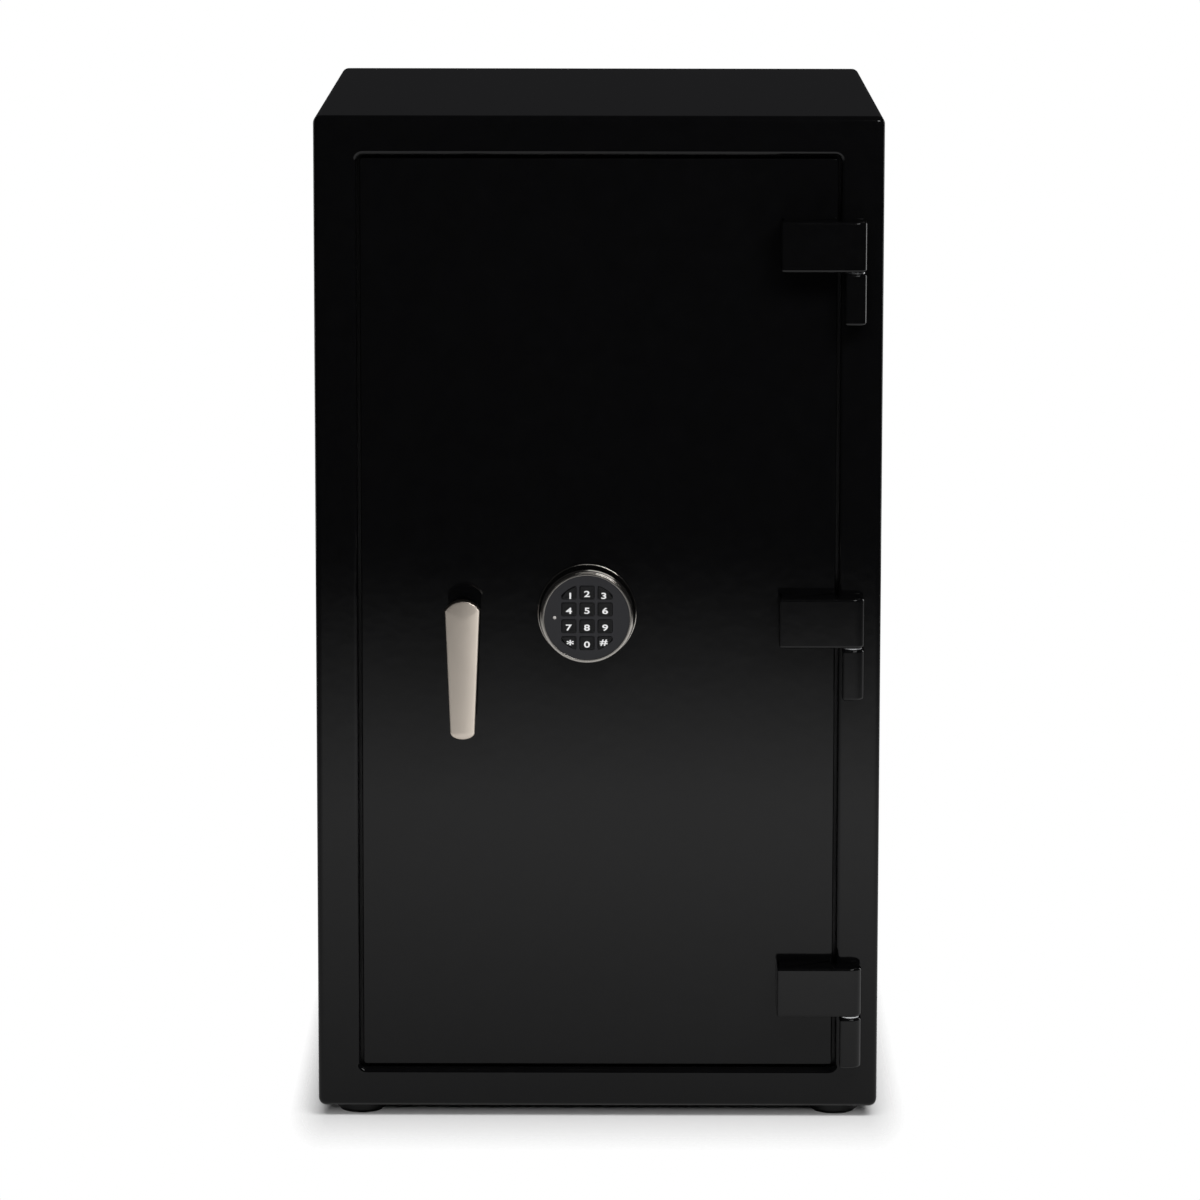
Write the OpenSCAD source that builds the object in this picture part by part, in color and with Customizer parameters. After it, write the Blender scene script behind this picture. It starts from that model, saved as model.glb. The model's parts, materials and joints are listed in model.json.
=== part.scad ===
// Compact gun safe: a steel body on four feet, one door on three outside hinges,
// a lever handle that drives locking bolts through a pinion, and a round electronic keypad.
// Millimetres, +Z up. The front faces -Y and +X is to the right, seen from the front.
// The origin is the middle of the footprint, handle included, at the foot of the feet.

/* [Body] */
// Width of the body
body_w = 508; // [440:1:640]
// Height of the body without its feet
body_h = 903; // [780:1:1200]
// Depth of the body
body_d = 560; // [460:1:640]
// Thickness of the steel skin
skin_t = 3; // [2:0.5:5]
// Thickness of the front face of the skin
front_t = 5; // [4:0.5:6]
// Radius of the body's rounded outer edges
edge_r = 6; // [3:0.5:12]
// Thickness of the fire boards
board_t = 15; // [10:1:20]
// Thickness of the fabric lining
lining_t = 2; // [1:0.5:4]
// Diameter of the holes for floor anchors
anchor_hole_d = 13; // [8:0.5:16]
// Spacing of the anchor holes across the body
anchor_x = 300; // [200:1:340]
// Spacing of the anchor holes from front to back
anchor_y = 200; // [100:1:210]
// Distance from the body's front to the first row of anchor holes
anchor_first_y = 150; // [130:1:170]

/* [Feet] */
// Diameter of a foot
foot_d = 44; // [30:1:60]
// Height of a foot
foot_h = 11; // [8:1:30]
// Distance of a foot's centre from the two nearest sides
foot_inset = 38; // [34:1:70]

/* [Door frame] */
// Width of the step that the door plate closes onto
rebate_w = 10; // [8:0.5:12]
// Thickness of the frame's bent steel
jamb_t = 5; // [3:0.5:6]
// Distance from the body's front to the back of the frame
jamb_depth = 56; // [50:1:58]
// Radius of the opening's corners
opening_r = 6; // [4:0.5:10]
// Radius of the rounded edge around the opening
opening_edge_r = 4; // [2:0.5:4]

/* [Door] */
// Gap around the door plate
door_gap = 3; // [2:0.25:3.5]
// Depth of the door's face behind the body's front
door_recess = 6; // [5.5:0.5:10]
// Thickness of the door plate
plate_t = 8; // [5:0.5:9]
// Thickness of the door's seal with the door closed
seal_t = 2; // [1.5:0.5:3]
// Thickness of the fire board in the door
door_board_t = 24; // [18:1:26]
// Thickness of the plate that carries the boltwork
bolt_plate_t = 4; // [3:0.5:6]
// Depth of the room for the boltwork
bolt_room = 50; // [48:1:60]
// Thickness of the door pan's wall
pan_t = 2.5; // [1.5:0.5:4]
// Thickness of the door's inside cover
cover_t = 3; // [2:0.5:5]

/* [Hinges] */
// Number of hinges
hinge_count = 3; // [2:1:3]
// Distance of the highest hinge's joint below the body's top
hinge_top_drop = 137.5; // [120:0.5:180]
// Height of the lowest hinge's joint above the body's bottom
hinge_low_z = 89; // [80:1:140]
// Diameter of a hinge barrel
barrel_d = 21; // [18:0.5:22]
// Distance of the hinge axis from the body's right side
hinge_inset = 26; // [22:0.5:30]
// Distance of the hinge axis in front of the body's front face
hinge_out = 14.5; // [13:0.25:16]
// Width of a strap, from its free end to the hinge axis
strap_w = 66; // [50:1:80]
// Height of a strap
strap_h = 45; // [35:1:60]
// Height of a fixed knuckle
knuckle_h = 46; // [35:1:60]
// Diameter of a hinge pin
hinge_pin_d = 12; // [8:0.5:13]
// Thickness of the washer between a strap and its knuckle
washer_t = 1.5; // [1:0.25:3]

/* [Handle] */
// Distance of the handle's axis to the left of the door's centre line
handle_x = 121; // [112:1:128]
// Height of the handle's axis and of the keypad above the body's bottom
lock_z = 455.5; // [400:0.5:560]
// Distance from the body's front to the front of the lever
handle_reach = 46; // [42:1:55]
// Thickness of the lever
lever_t = 12; // [8:0.5:16]
// Width of the lever at its axis
lever_w = 31; // [24:0.5:36]
// Width of the lever at its end
lever_end_w = 22; // [16:0.5:26]
// Radius of the lever's rounded top
lever_top_r = 18.5; // [18:0.5:22]
// Distance from the handle's axis to the lever's end
lever_reach = 107; // [80:1:115]
// Diameter of the handle's hub
hub_d = 29; // [22:0.5:30]
// Diameter of the spindle
spindle_d = 12; // [8:0.5:14]

/* [Keypad] */
// Distance of the keypad's centre to the left of the door's centre line
keypad_x = 10; // [0:1:20]
// Diameter of the keypad's base
keypad_base_d = 89; // [86:0.5:100]
// Diameter of the band around the keypad's front
keypad_band_d = 82.6; // [82:0.1:85]
// Diameter of the keypad's bezel
keypad_bezel_d = 80.6; // [79:0.1:81]
// Diameter of the keypad's face
keypad_face_d = 76.5; // [75:0.5:78]
// Depth of the keypad from the door to its front
keypad_depth = 30; // [28:0.5:34]
// Width of a key
key_w = 13; // [10:0.5:13.5]
// Height of a key
key_h = 12; // [9:0.5:12.5]
// Spacing of the keys across
key_step_x = 16.2; // [16.2:0.1:17]
// Spacing of the keys up and down
key_step_z = 15.3; // [15:0.1:15.6]
// Radius of the circle that trims the corner keys
key_trim_r = 30.5; // [29:0.5:31]
// Distance that a key is pressed
key_travel = 1; // [0.5:0.1:1.2]

/* [Boltwork] */
// Diameter of a locking bolt
bolt_d = 20; // [16:0.5:22]
// Distance that a thrown bolt reaches behind the frame
bolt_engage = 16; // [12:1:18]
// Room left past the thrown bolts at the body's sides
bolt_side_room = 12; // [8:1:16]
// Room left past the thrown bolts at the body's top and bottom
bolt_end_room = 9; // [7:1:14]
// Number of bolts on each side
side_bolt_count = 4; // [2:1:4]
// Spacing of the bolts on each side
side_bolt_step = 190; // [150:1:195]
// Module of the pinion's teeth
tooth_module = 2; // [1.8:0.05:2.2]
// Number of teeth on the pinion
tooth_count = 22; // [20:2:24]
// Width of one sliding bar, along the pinion
bar_t = 7; // [5:0.5:7]

/* [Inside] */
// Width of the bay for long guns
gun_bay_w = 264; // [200:1:280]
// Height of the space above the full-width shelf
top_space_h = 180; // [120:5:260]
// Thickness of the shelves and the divider
shelf_t = 12; // [9:1:18]
// Distance of the shelves' front behind the door
shelf_setback = 35; // [20:1:60]
// Number of small shelves
small_shelf_count = 2; // [1:1:4]
// Drop of the barrel rest below the full-width shelf
rest_drop = 110; // [60:5:200]
// Depth of the barrel rest
rest_depth = 88; // [70:1:120]
// Number of notches in the barrel rest
notch_count = 4; // [2:1:4]
// Width of a notch in the barrel rest
notch_w = 30; // [20:1:34]
// Height of the pad that the gun stocks stand on
stock_pad_h = 24; // [10:1:40]
// Depth of the pad that the gun stocks stand on
stock_pad_depth = 150; // [80:1:155]

/* [Hidden] */
$fn = 64;
eps = 0.01;
// Distance that a cutter reaches past the face it opens
cut = 1;

// Places: x from the middle, y from the body's front face backwards, z from the body's bottom
front_y = -(body_d - handle_reach) / 2;
mid_z = body_h / 2;
wall_t = skin_t + board_t + lining_t;
frame_side = wall_t + bolt_side_room + bolt_engage - rebate_w;
frame_end = wall_t + bolt_end_room + bolt_engage - rebate_w;
open_hw = body_w / 2 - frame_side;
open_hh = body_h / 2 - frame_end;
stop_hw = open_hw - rebate_w;
stop_hh = open_hh - rebate_w;
board_hw = body_w / 2 - skin_t - board_t;
board_hh = body_h / 2 - skin_t - board_t;
room_hw = body_w / 2 - wall_t;
floor_z = wall_t;
ceiling_z = body_h - wall_t;
room_back = body_d - wall_t;

// Door layers, from the face backwards
plate_hw = open_hw - door_gap;
plate_hh = open_hh - door_gap;
plate_back = door_recess + plate_t;
stop_y = plate_back + seal_t;
board_back = plate_back + door_board_t;
works_y = board_back + bolt_plate_t;
pan_back = works_y + bolt_room;
door_back = pan_back + cover_t;

// Hinge axis, and the door pan that has to swing past the frame
hinge_x = body_w / 2 - hinge_inset;
swing_gap = 6;
pan_swing_r = hinge_x + stop_hw - swing_gap;
pan_hw = sqrt(pan_swing_r ^ 2 - (hinge_out + door_back) ^ 2) - hinge_x;

// Pinion and racks
bar_gap = 1.5;
works_gap = 2;
tooth_angle = 20;
backlash = 0.3;
pitch_r = tooth_module * tooth_count / 2;
rack_pitch = PI * tooth_module;
tip_h = tooth_module;
root_h = 1.25 * tooth_module;
mesh_gap = 0.1;
throw = pitch_r * PI / 2;
bar_a_y = works_y + works_gap;
bar_b_y = bar_a_y + bar_t + bar_gap;
bars_back = bar_b_y + bar_t;

// Bolts: the frame's hinge-side corner sets how far behind it they lie
swing_margin = 1.5;
stop_reach = hinge_out + jamb_depth;
bolt_gap = sqrt((hinge_x - stop_hw) ^ 2 + stop_reach ^ 2) - stop_reach + swing_margin;
bolt_r = bolt_d / 2;
bolt_y = jamb_depth + bolt_gap + bolt_r;
bolt_slip = 0.4;
side_tip = stop_hw + bolt_engage;
end_tip = stop_hh + bolt_engage;
end_rest = end_tip - throw;
pan_end_gap = 1;
pan_hh = end_rest - pan_end_gap;
bolt_nose = 2;
dead_bolt_len = 70;
side_bolt_len = 52;
side_bolt_top = (side_bolt_count - 1) / 2 * side_bolt_step + bolt_r;
side_bar_t = 8;
side_bar_x = -(side_tip - throw - side_bolt_len);
side_bar_gap = 3;
side_bar_y = bars_back + side_bar_gap;
side_bar_d = 22;
end_foot_h = 30;
end_bolt_max = 60;
end_bolt_len = min(end_bolt_max, end_rest - side_bolt_top - works_gap - end_foot_h);

// Keypad layers
keypad_plate_t = 4;
keypad_front = door_recess - keypad_depth;
face_t = 3;
face_sink = 0.6;
face_y = keypad_front + face_sink;
ledge_t = 2;
ledge_r = 35;
key_proud = 0.6;
key_slip = 0.3;
key_corner = 1.5;
flange_t = 1.2;
flange_w = 0.8;
circuit_t = 1.6;
switch_h = 1.6;
circuit_y = face_y + face_t + flange_t + key_travel + switch_h;
cable_d = 5;
cable_drop = 30;

KEYS = ["key_1", "key_2", "key_3", "key_4", "key_5", "key_6", "key_7", "key_8", "key_9",
        "key_star", "key_0", "key_hash"];

// ---------- Shared shapes ----------

// Moves a piece from the body's own places to the part's frame
module placed() {
    translate([0, front_y, foot_h]) children();
}

// Rectangle with round corners, centred
module round_rect(w, h, r) {
    square([w - 2 * r, h], center = true);
    square([w, h - 2 * r], center = true);
    for (x = [-1, 1], y = [-1, 1]) {
        translate([x * (w / 2 - r), y * (h / 2 - r)]) circle(r = r);
    }
}

// Stands a flat outline up in the front view and gives it a thickness from y backwards
module slab(y, t) {
    translate([0, y + t, 0]) rotate([90, 0, 0]) linear_extrude(t) children();
}

// Box from its two corners
module block(low, high) {
    translate(low) cube(high - low);
}

// Upright rectangle, centred on the body's middle height, with a thickness from y backwards
module panel(hw, hh, y, t, r = 0) {
    translate([0, 0, mid_z]) slab(y, t) {
        if (r > 0) round_rect(2 * hw, 2 * hh, r);
        else square([2 * hw, 2 * hh], center = true);
    }
}

// Round bar along Y, from y backwards
module rod_y(x, z, y, len, r) {
    translate([x, y, z]) rotate([-90, 0, 0]) cylinder(h = len, r = r);
}

// Copies its children up the door at each side bolt
module at_side_bolts() {
    for (i = [0 : side_bolt_count - 1]) {
        translate([0, 0, mid_z + (i - (side_bolt_count - 1) / 2) * side_bolt_step]) children();
    }
}

// Height of a hinge's joint; number 0 is the lowest
function hinge_z(i) = hinge_low_z
    + i * (body_h - hinge_top_drop - hinge_low_z) / (hinge_count - 1);

// Copies its children at each hinge's joint, on the hinge axis
module at_hinges() {
    for (i = [0 : hinge_count - 1]) {
        translate([hinge_x, -hinge_out, hinge_z(i)]) children();
    }
}

// ---------- Body ----------

// Solid box with all its outer edges rounded: three crossed prisms
module rounded_body() {
    intersection() {
        panel(body_w / 2, body_h / 2, 0, body_d, edge_r);
        translate([0, body_d / 2, 0]) linear_extrude(body_h) round_rect(body_w, body_d, edge_r);
        translate([-body_w / 2, body_d / 2, mid_z]) rotate([90, 0, 90])
            linear_extrude(body_w) round_rect(body_d, body_h, edge_r);
    }
}

// The part of a square that lies outside a circle in its far corner
module edge_profile(r) {
    difference() {
        translate([-eps, -eps]) square([r + eps, r + eps]);
        translate([r, r]) circle(r = r);
    }
}

// Cutter that rounds the front edge of the opening: four straight runs and four corners
module opening_round() {
    hw = open_hw;
    hh = open_hh;
    for (s = [-1, 1]) {
        translate([0, 0, mid_z - hh + opening_r]) scale([s, 1, 1]) translate([hw, 0, 0])
            linear_extrude(2 * (hh - opening_r)) edge_profile(opening_edge_r);
        translate([-hw + opening_r, 0, mid_z]) scale([1, 1, s]) translate([0, 0, hh])
            rotate([0, 90, 0]) mirror([1, 0, 0]) linear_extrude(2 * (hw - opening_r))
                edge_profile(opening_edge_r);
        for (t = [-1, 1]) {
            translate([s * (hw - opening_r), 0, mid_z + t * (hh - opening_r)]) rotate([-90, 0, 0])
                rotate_extrude() translate([opening_r, 0]) edge_profile(opening_edge_r);
        }
    }
}

// Copies its children at the four floor anchors
module at_anchors() {
    for (x = [-1, 1], j = [0, 1]) {
        translate([x * anchor_x / 2, anchor_first_y + j * anchor_y, 0]) children();
    }
}

// Drills for the floor anchors, through everything below a height
module anchor_drills(top) {
    at_anchors() translate([0, 0, -cut]) cylinder(h = top + 2 * cut, d = anchor_hole_d);
}

module outer_shell() {
    color("#0b0b0c") placed() difference() {
        rounded_body();
        block([-body_w / 2 + skin_t, front_t, skin_t],
              [body_w / 2 - skin_t, body_d - skin_t, body_h - skin_t]);
        panel(open_hw, open_hh, -cut, front_t + 2 * cut, opening_r);
        opening_round();
        anchor_drills(skin_t);
    }
}

// Section of the frame: x from the stop's inner edge outwards, y backwards
module jamb_section(lip_w) {
    translate([rebate_w, front_t]) square([jamb_t, stop_y + jamb_t - front_t]);
    translate([0, stop_y]) square([rebate_w + jamb_t, jamb_t]);
    translate([0, stop_y]) square([jamb_t, jamb_depth - stop_y]);
    translate([0, jamb_depth - jamb_t]) square([lip_w, jamb_t]);
}

module jamb_sides() {
    lip_w = board_hw - stop_hw;
    color("#151516") placed() for (s = [-1, 1]) {
        intersection() {
            scale([s, 1, 1]) translate([stop_hw, 0, mid_z - board_hh])
                linear_extrude(2 * board_hh) jamb_section(lip_w);
            slab(0, jamb_depth) polygon([
                [s * stop_hw, mid_z - stop_hh], [s * stop_hw, mid_z + stop_hh],
                [s * (stop_hw + lip_w), mid_z + stop_hh + lip_w],
                [s * (stop_hw + lip_w), mid_z - stop_hh - lip_w]]);
        }
    }
}

module jamb_ends() {
    lip_w = board_hh - stop_hh;
    color("#151516") placed() for (s = [-1, 1]) {
        intersection() {
            translate([-board_hw, 0, mid_z]) scale([1, 1, s]) translate([0, 0, stop_hh])
                rotate([0, 90, 0]) mirror([1, 0, 0])
                    linear_extrude(2 * board_hw) jamb_section(lip_w);
            slab(0, jamb_depth) polygon([
                [-stop_hw, mid_z + s * stop_hh], [stop_hw, mid_z + s * stop_hh],
                [stop_hw + lip_w, mid_z + s * (stop_hh + lip_w)],
                [-stop_hw - lip_w, mid_z + s * (stop_hh + lip_w)]]);
        }
    }
}

// Fire board on one side: -1 left, 1 right
module side_board(s) {
    low_x = s < 0 ? -board_hw - board_t : board_hw;
    color("#b9b4aa") placed()
        block([low_x, front_t, skin_t], [low_x + board_t, body_d - skin_t, body_h - skin_t]);
}

module board_left() {
    side_board(-1);
}

module board_right() {
    side_board(1);
}

module board_top() {
    color("#b9b4aa") placed()
        block([-board_hw, front_t, body_h - skin_t - board_t],
              [board_hw, body_d - skin_t, body_h - skin_t]);
}

module board_bottom() {
    color("#b9b4aa") placed() difference() {
        block([-board_hw, front_t, skin_t], [board_hw, body_d - skin_t, skin_t + board_t]);
        anchor_drills(skin_t + board_t);
    }
}

module board_back() {
    color("#b9b4aa") placed()
        block([-board_hw, body_d - skin_t - board_t, skin_t + board_t],
              [board_hw, body_d - skin_t, body_h - skin_t - board_t]);
}

module lining() {
    color("#3a3b3f") placed() difference() {
        block([-board_hw, jamb_depth, skin_t + board_t],
              [board_hw, room_back + lining_t, body_h - skin_t - board_t]);
        block([-room_hw, jamb_depth - cut, floor_z], [room_hw, room_back, ceiling_z]);
        anchor_drills(floor_z);
    }
}

module feet() {
    base_ring = 3;
    color("#101011") for (x = [-1, 1], y = [foot_inset, body_d - foot_inset]) {
        translate([x * (body_w / 2 - foot_inset), front_y + y, 0]) {
            cylinder(h = base_ring, d1 = foot_d - 2 * base_ring, d2 = foot_d);
            translate([0, 0, base_ring]) cylinder(h = foot_h - base_ring, d = foot_d);
        }
    }
}

// ---------- Hinges ----------

// Metal left under a hinge pin in its knuckle, and above it in its strap
pin_floor = 10;
pin_roof = 9;

function pin_seat() = knuckle_h - pin_floor;

function pin_rise() = strap_h - pin_roof;

module hinge_knuckles() {
    r = barrel_d / 2;
    flank = 9;
    color("#131314") placed() at_hinges() translate([0, 0, -washer_t / 2 - knuckle_h]) {
        difference() {
            linear_extrude(knuckle_h) {
                circle(r = r);
                translate([-flank, -r]) square([flank, r + hinge_out]);
                square([r, hinge_out]);
            }
            translate([0, 0, pin_floor]) cylinder(h = pin_seat() + cut, d = hinge_pin_d);
        }
    }
}

module hinge_pins() {
    color("#8f9193") placed() at_hinges() translate([0, 0, -washer_t / 2 - pin_seat()])
        cylinder(h = pin_seat() + washer_t + pin_rise(), d = hinge_pin_d);
}

module hinge_washers() {
    play = 0.1;
    inset = 0.5;
    color("#b8babb") placed() at_hinges() translate([0, 0, -washer_t / 2]) difference() {
        cylinder(h = washer_t - play, d = barrel_d - 2 * inset);
        translate([0, 0, -cut]) cylinder(h = washer_t + 2 * cut, d = hinge_pin_d);
    }
}

module hinge_straps() {
    r = barrel_d / 2;
    plate_edge = 1;
    lap = hinge_x - plate_hw + plate_edge;
    pin_slip = 0.05;
    clear_top = 1;
    color("#131314") placed() at_hinges() translate([0, 0, washer_t / 2]) difference() {
        linear_extrude(strap_h) {
            circle(r = r);
            translate([-strap_w, -r]) square([strap_w, 2 * r]);
            translate([-strap_w, -r]) square([strap_w - lap, r + hinge_out + door_recess]);
        }
        translate([0, 0, -cut])
            cylinder(h = pin_rise() + clear_top + cut, r = hinge_pin_d / 2 + pin_slip);
    }
}

// ---------- Inside ----------

function divider_x() = -room_hw + gun_bay_w;

function shelf_front() = door_back + shelf_setback;

function top_shelf_z() = ceiling_z - top_space_h - shelf_t;

// Underside of a small shelf; number 1 is the lowest
function small_shelf_z(i) = floor_z + i * (top_shelf_z() - floor_z) / (small_shelf_count + 1);

wall_slip = 0.5;
cleat_h = 14;
cleat_w = 8;
cleat_setback = 10;

module divider() {
    color("#4a4b4f") placed()
        block([divider_x(), shelf_front(), floor_z],
              [divider_x() + shelf_t, room_back, top_shelf_z()]);
}

module top_shelf() {
    color("#4a4b4f") placed()
        block([-room_hw + wall_slip, shelf_front(), top_shelf_z()],
              [room_hw - wall_slip, room_back, top_shelf_z() + shelf_t]);
}

module small_shelves() {
    color("#4a4b4f") placed() for (i = [1 : small_shelf_count]) {
        block([divider_x() + shelf_t + wall_slip, shelf_front(), small_shelf_z(i)],
              [room_hw - wall_slip, room_back, small_shelf_z(i) + shelf_t]);
    }
}

// One cleat under a shelf: its left side at x and its top at z
module cleat(x, z) {
    block([x, shelf_front() + cleat_setback, z - cleat_h], [x + cleat_w, room_back, z]);
}

module shelf_cleats() {
    color("#6b6d70") placed() {
        cleat(-room_hw, top_shelf_z());
        cleat(room_hw - cleat_w, top_shelf_z());
        for (i = [1 : small_shelf_count]) {
            cleat(divider_x() + shelf_t, small_shelf_z(i));
            cleat(room_hw - cleat_w, small_shelf_z(i));
        }
    }
}

function rest_z() = top_shelf_z() - rest_drop;

module barrel_rest() {
    step = gun_bay_w / notch_count;
    notch_depth = rest_depth / 2;
    color("#4a4b4f") placed() difference() {
        block([-room_hw, room_back - rest_depth, rest_z()],
              [divider_x(), room_back, rest_z() + shelf_t]);
        for (i = [0 : notch_count - 1]) {
            translate([-room_hw + (i + 0.5) * step, room_back - rest_depth, rest_z() - cut]) {
                translate([0, notch_depth, 0]) cylinder(h = shelf_t + 2 * cut, d = notch_w);
                translate([-notch_w / 2, -cut, 0])
                    cube([notch_w, notch_depth + cut, shelf_t + 2 * cut]);
            }
        }
    }
}

module stock_pad() {
    color("#2c2d30") placed()
        block([-room_hw + wall_slip, room_back - stock_pad_depth, floor_z],
              [divider_x() - wall_slip, room_back, floor_z + stock_pad_h]);
}

// ---------- Door ----------

bush_wall = 3;
bush_r = spindle_d / 2 + bush_wall;
cable_room = 1;
keypad_bore_r = cable_d / 2 + cable_room;

// Bores through the door's layers for the spindle's bush and the keypad's cable
module door_bores() {
    rod_y(-handle_x, lock_z, -cut, pan_back, bush_r);
    rod_y(-keypad_x, lock_z - cable_drop, -cut, pan_back, keypad_bore_r);
}

module door_plate() {
    color("#0b0b0c") placed() difference() {
        panel(plate_hw, plate_hh, door_recess, plate_t, opening_r - door_gap);
        door_bores();
    }
}

module door_seal() {
    seal_w = 5;
    edge = 1.5;
    squash = 0.3;
    color("#26272a") placed() difference() {
        panel(plate_hw - edge, plate_hh - edge, plate_back, seal_t - squash);
        panel(plate_hw - edge - seal_w, plate_hh - edge - seal_w, plate_back - cut,
              seal_t + 2 * cut);
    }
}

// Hard plate that guards the lock: its half width, half height and thickness
drill_hw = 60;
drill_hh = 62;
drill_t = 4;

module drill_box() {
    translate([-keypad_x, 0, lock_z]) slab(plate_back, drill_t)
        square([2 * drill_hw, 2 * drill_hh], center = true);
}

module door_board() {
    color("#b9b4aa") placed() difference() {
        panel(pan_hw - pan_t, pan_hh - pan_t, plate_back, door_board_t);
        drill_box();
        door_bores();
    }
}

module drill_plate() {
    color("#6f7276") placed() difference() {
        drill_box();
        door_bores();
    }
}

module door_pan() {
    bolt_hole_r = bolt_r + bolt_slip;
    color("#1c1d1f") placed() difference() {
        panel(pan_hw, pan_hh, plate_back, pan_back - plate_back);
        panel(pan_hw - pan_t, pan_hh - pan_t, plate_back - cut, pan_back - plate_back + 2 * cut);
        at_side_bolts() {
            translate([-pan_hw - cut, bolt_y, 0]) rotate([0, 90, 0])
                cylinder(h = pan_t + 2 * cut, r = bolt_hole_r);
            translate([pan_hw - pan_t - cut, bolt_y, 0]) rotate([0, 90, 0])
                cylinder(h = pan_t + 2 * cut, r = bolt_r);
        }
        translate([top_bar_x(), bolt_y, mid_z + pan_hh - pan_t - cut])
            cylinder(h = pan_t + 2 * cut, r = bolt_hole_r);
        translate([bottom_bar_x(), bolt_y, mid_z - pan_hh - cut])
            cylinder(h = pan_t + 2 * cut, r = bolt_hole_r);
    }
}

module bolt_plate() {
    color("#8b8d90") placed() difference() {
        panel(pan_hw - pan_t, pan_hh - pan_t, board_back, bolt_plate_t);
        door_bores();
    }
}

// Round bolt with a bevelled nose, standing on its foot
module bolt(len) {
    cylinder(h = len - bolt_nose, r = bolt_r);
    translate([0, 0, len - bolt_nose])
        cylinder(h = bolt_nose, r1 = bolt_r, r2 = bolt_r - bolt_nose);
}

module dead_bolts() {
    color("#c3c5c7") placed() at_side_bolts()
        translate([side_tip - dead_bolt_len, bolt_y, 0]) rotate([0, 90, 0]) {
            bolt(dead_bolt_len);
        }
}

// Places of the cover's screws
screw_edge = 12;
screw_x = pan_hw - screw_edge;

module at_cover_screws() {
    for (x = [-1, 1], i = [-1 : 1]) {
        translate([x * screw_x, 0, mid_z + i * (pan_hh - screw_edge)]) children();
    }
}

screw_r = 2;
screw_head_r = 4;
screw_head_h = 2;
screw_bite = 6;

module door_cover() {
    color("#3a3b3f") placed() difference() {
        panel(pan_hw, pan_hh, pan_back, cover_t);
        at_cover_screws() rod_y(0, 0, pan_back - cut, cover_t + 2 * cut, screw_r);
    }
}

module cover_screws() {
    color("#9a9c9f") placed() at_cover_screws() {
        rod_y(0, 0, pan_back - screw_bite, cover_t + screw_bite, screw_r);
        rod_y(0, 0, door_back, screw_head_h, screw_head_r);
    }
}

// ---------- Boltwork ----------

// Angle that an involute turns from its base circle out to a radius
function involute(r, base_r) =
    let (t = sqrt(max(0, (r / base_r) ^ 2 - 1))) t * 180 / PI - atan(t);

// Half of a tooth's angle at a radius
function half_tooth(r, base_r) =
    90 / tooth_count - backlash / 4 / pitch_r * 180 / PI
    + involute(pitch_r, base_r) - involute(max(r, base_r), base_r);

// Outline of the pinion; its first tooth points down
module pinion_outline() {
    base_r = pitch_r * cos(tooth_angle);
    tip_r = pitch_r + tip_h;
    root_r = pitch_r - root_h;
    steps = 4;
    flank = [root_r, for (i = [0 : steps]) base_r + (tip_r - base_r) * i / steps];
    n = len(flank) - 1;
    polygon([for (k = [0 : tooth_count - 1]) let (a = k * 360 / tooth_count - 90) each [
        for (i = [0 : n]) let (b = a - half_tooth(flank[i], base_r)) flank[i] * [cos(b), sin(b)],
        for (i = [n : -1 : 0]) let (b = a + half_tooth(flank[i], base_r)) flank[i] * [cos(b), sin(b)]
    ]]);
}

// Rack with its pitch line on y = 0, teeth up, from one end to the other and down to a depth
module rack(from, to, phase, depth) {
    lean = tan(tooth_angle);
    half = rack_pitch / 4 - backlash / 4;
    first = ceil((from - phase) / rack_pitch + 0.5);
    last = floor((to - phase) / rack_pitch - 0.5);
    translate([from, -depth]) square([to - from, depth - root_h]);
    for (k = [first : last]) {
        translate([phase + k * rack_pitch, 0]) polygon([
            [-half - (root_h + eps) * lean, -root_h - eps], [half + (root_h + eps) * lean, -root_h - eps],
            [half - tip_h * lean, tip_h], [-half + tip_h * lean, tip_h]]);
    }
}

// Where the teeth of the upright bars stand: a quarter turn on from the pinion's first tooth
quarter = tooth_count / 4 - floor(tooth_count / 4);
bar_phase = (quarter + 0.5) * rack_pitch;
bar_w = 12;
rack_spare = 10;
side_rack_depth = 16;

// Middle of the two upright bars
function top_bar_x() = -handle_x - pitch_r - mesh_gap - root_h - bar_w / 2;
function bottom_bar_x() = -handle_x + pitch_r + mesh_gap + root_h + bar_w / 2;

module pinion() {
    color("#a88f4d") placed() translate([-handle_x, 0, lock_z])
        slab(bar_a_y, bars_back - bar_a_y) difference() {
            pinion_outline();
            circle(d = spindle_d);
        }
}

module spindle() {
    spindle_end = 1.5;
    color("#a9abad") placed()
        rod_y(-handle_x, lock_z, lever_back(), bars_back + spindle_end - lever_back(), spindle_d / 2);
}

module spindle_bush() {
    slip = 0.05;
    recess = 0.3;
    bush_y = door_recess + recess;
    color("#b08d45") placed() difference() {
        rod_y(-handle_x, lock_z, bush_y, works_y - bush_y, bush_r);
        rod_y(-handle_x, lock_z, 0, works_y + cut, spindle_d / 2 + slip);
    }
}

// Arm that the lock's bolt holds, and its two notches: bolts withdrawn, and bolts thrown
arm_h = 20;
arm_gap = 8;
arm_t = 10;
arm_end = 30;
lock_bolt_w = 12;
lock_bolt_t = 8;
lock_bolt_travel = 9;
arm_play = 1;
arm_notch = lock_bolt_travel + arm_play;
lock_x = -keypad_x;
arm_z = lock_z + pitch_r + tip_h + arm_gap;

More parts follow.
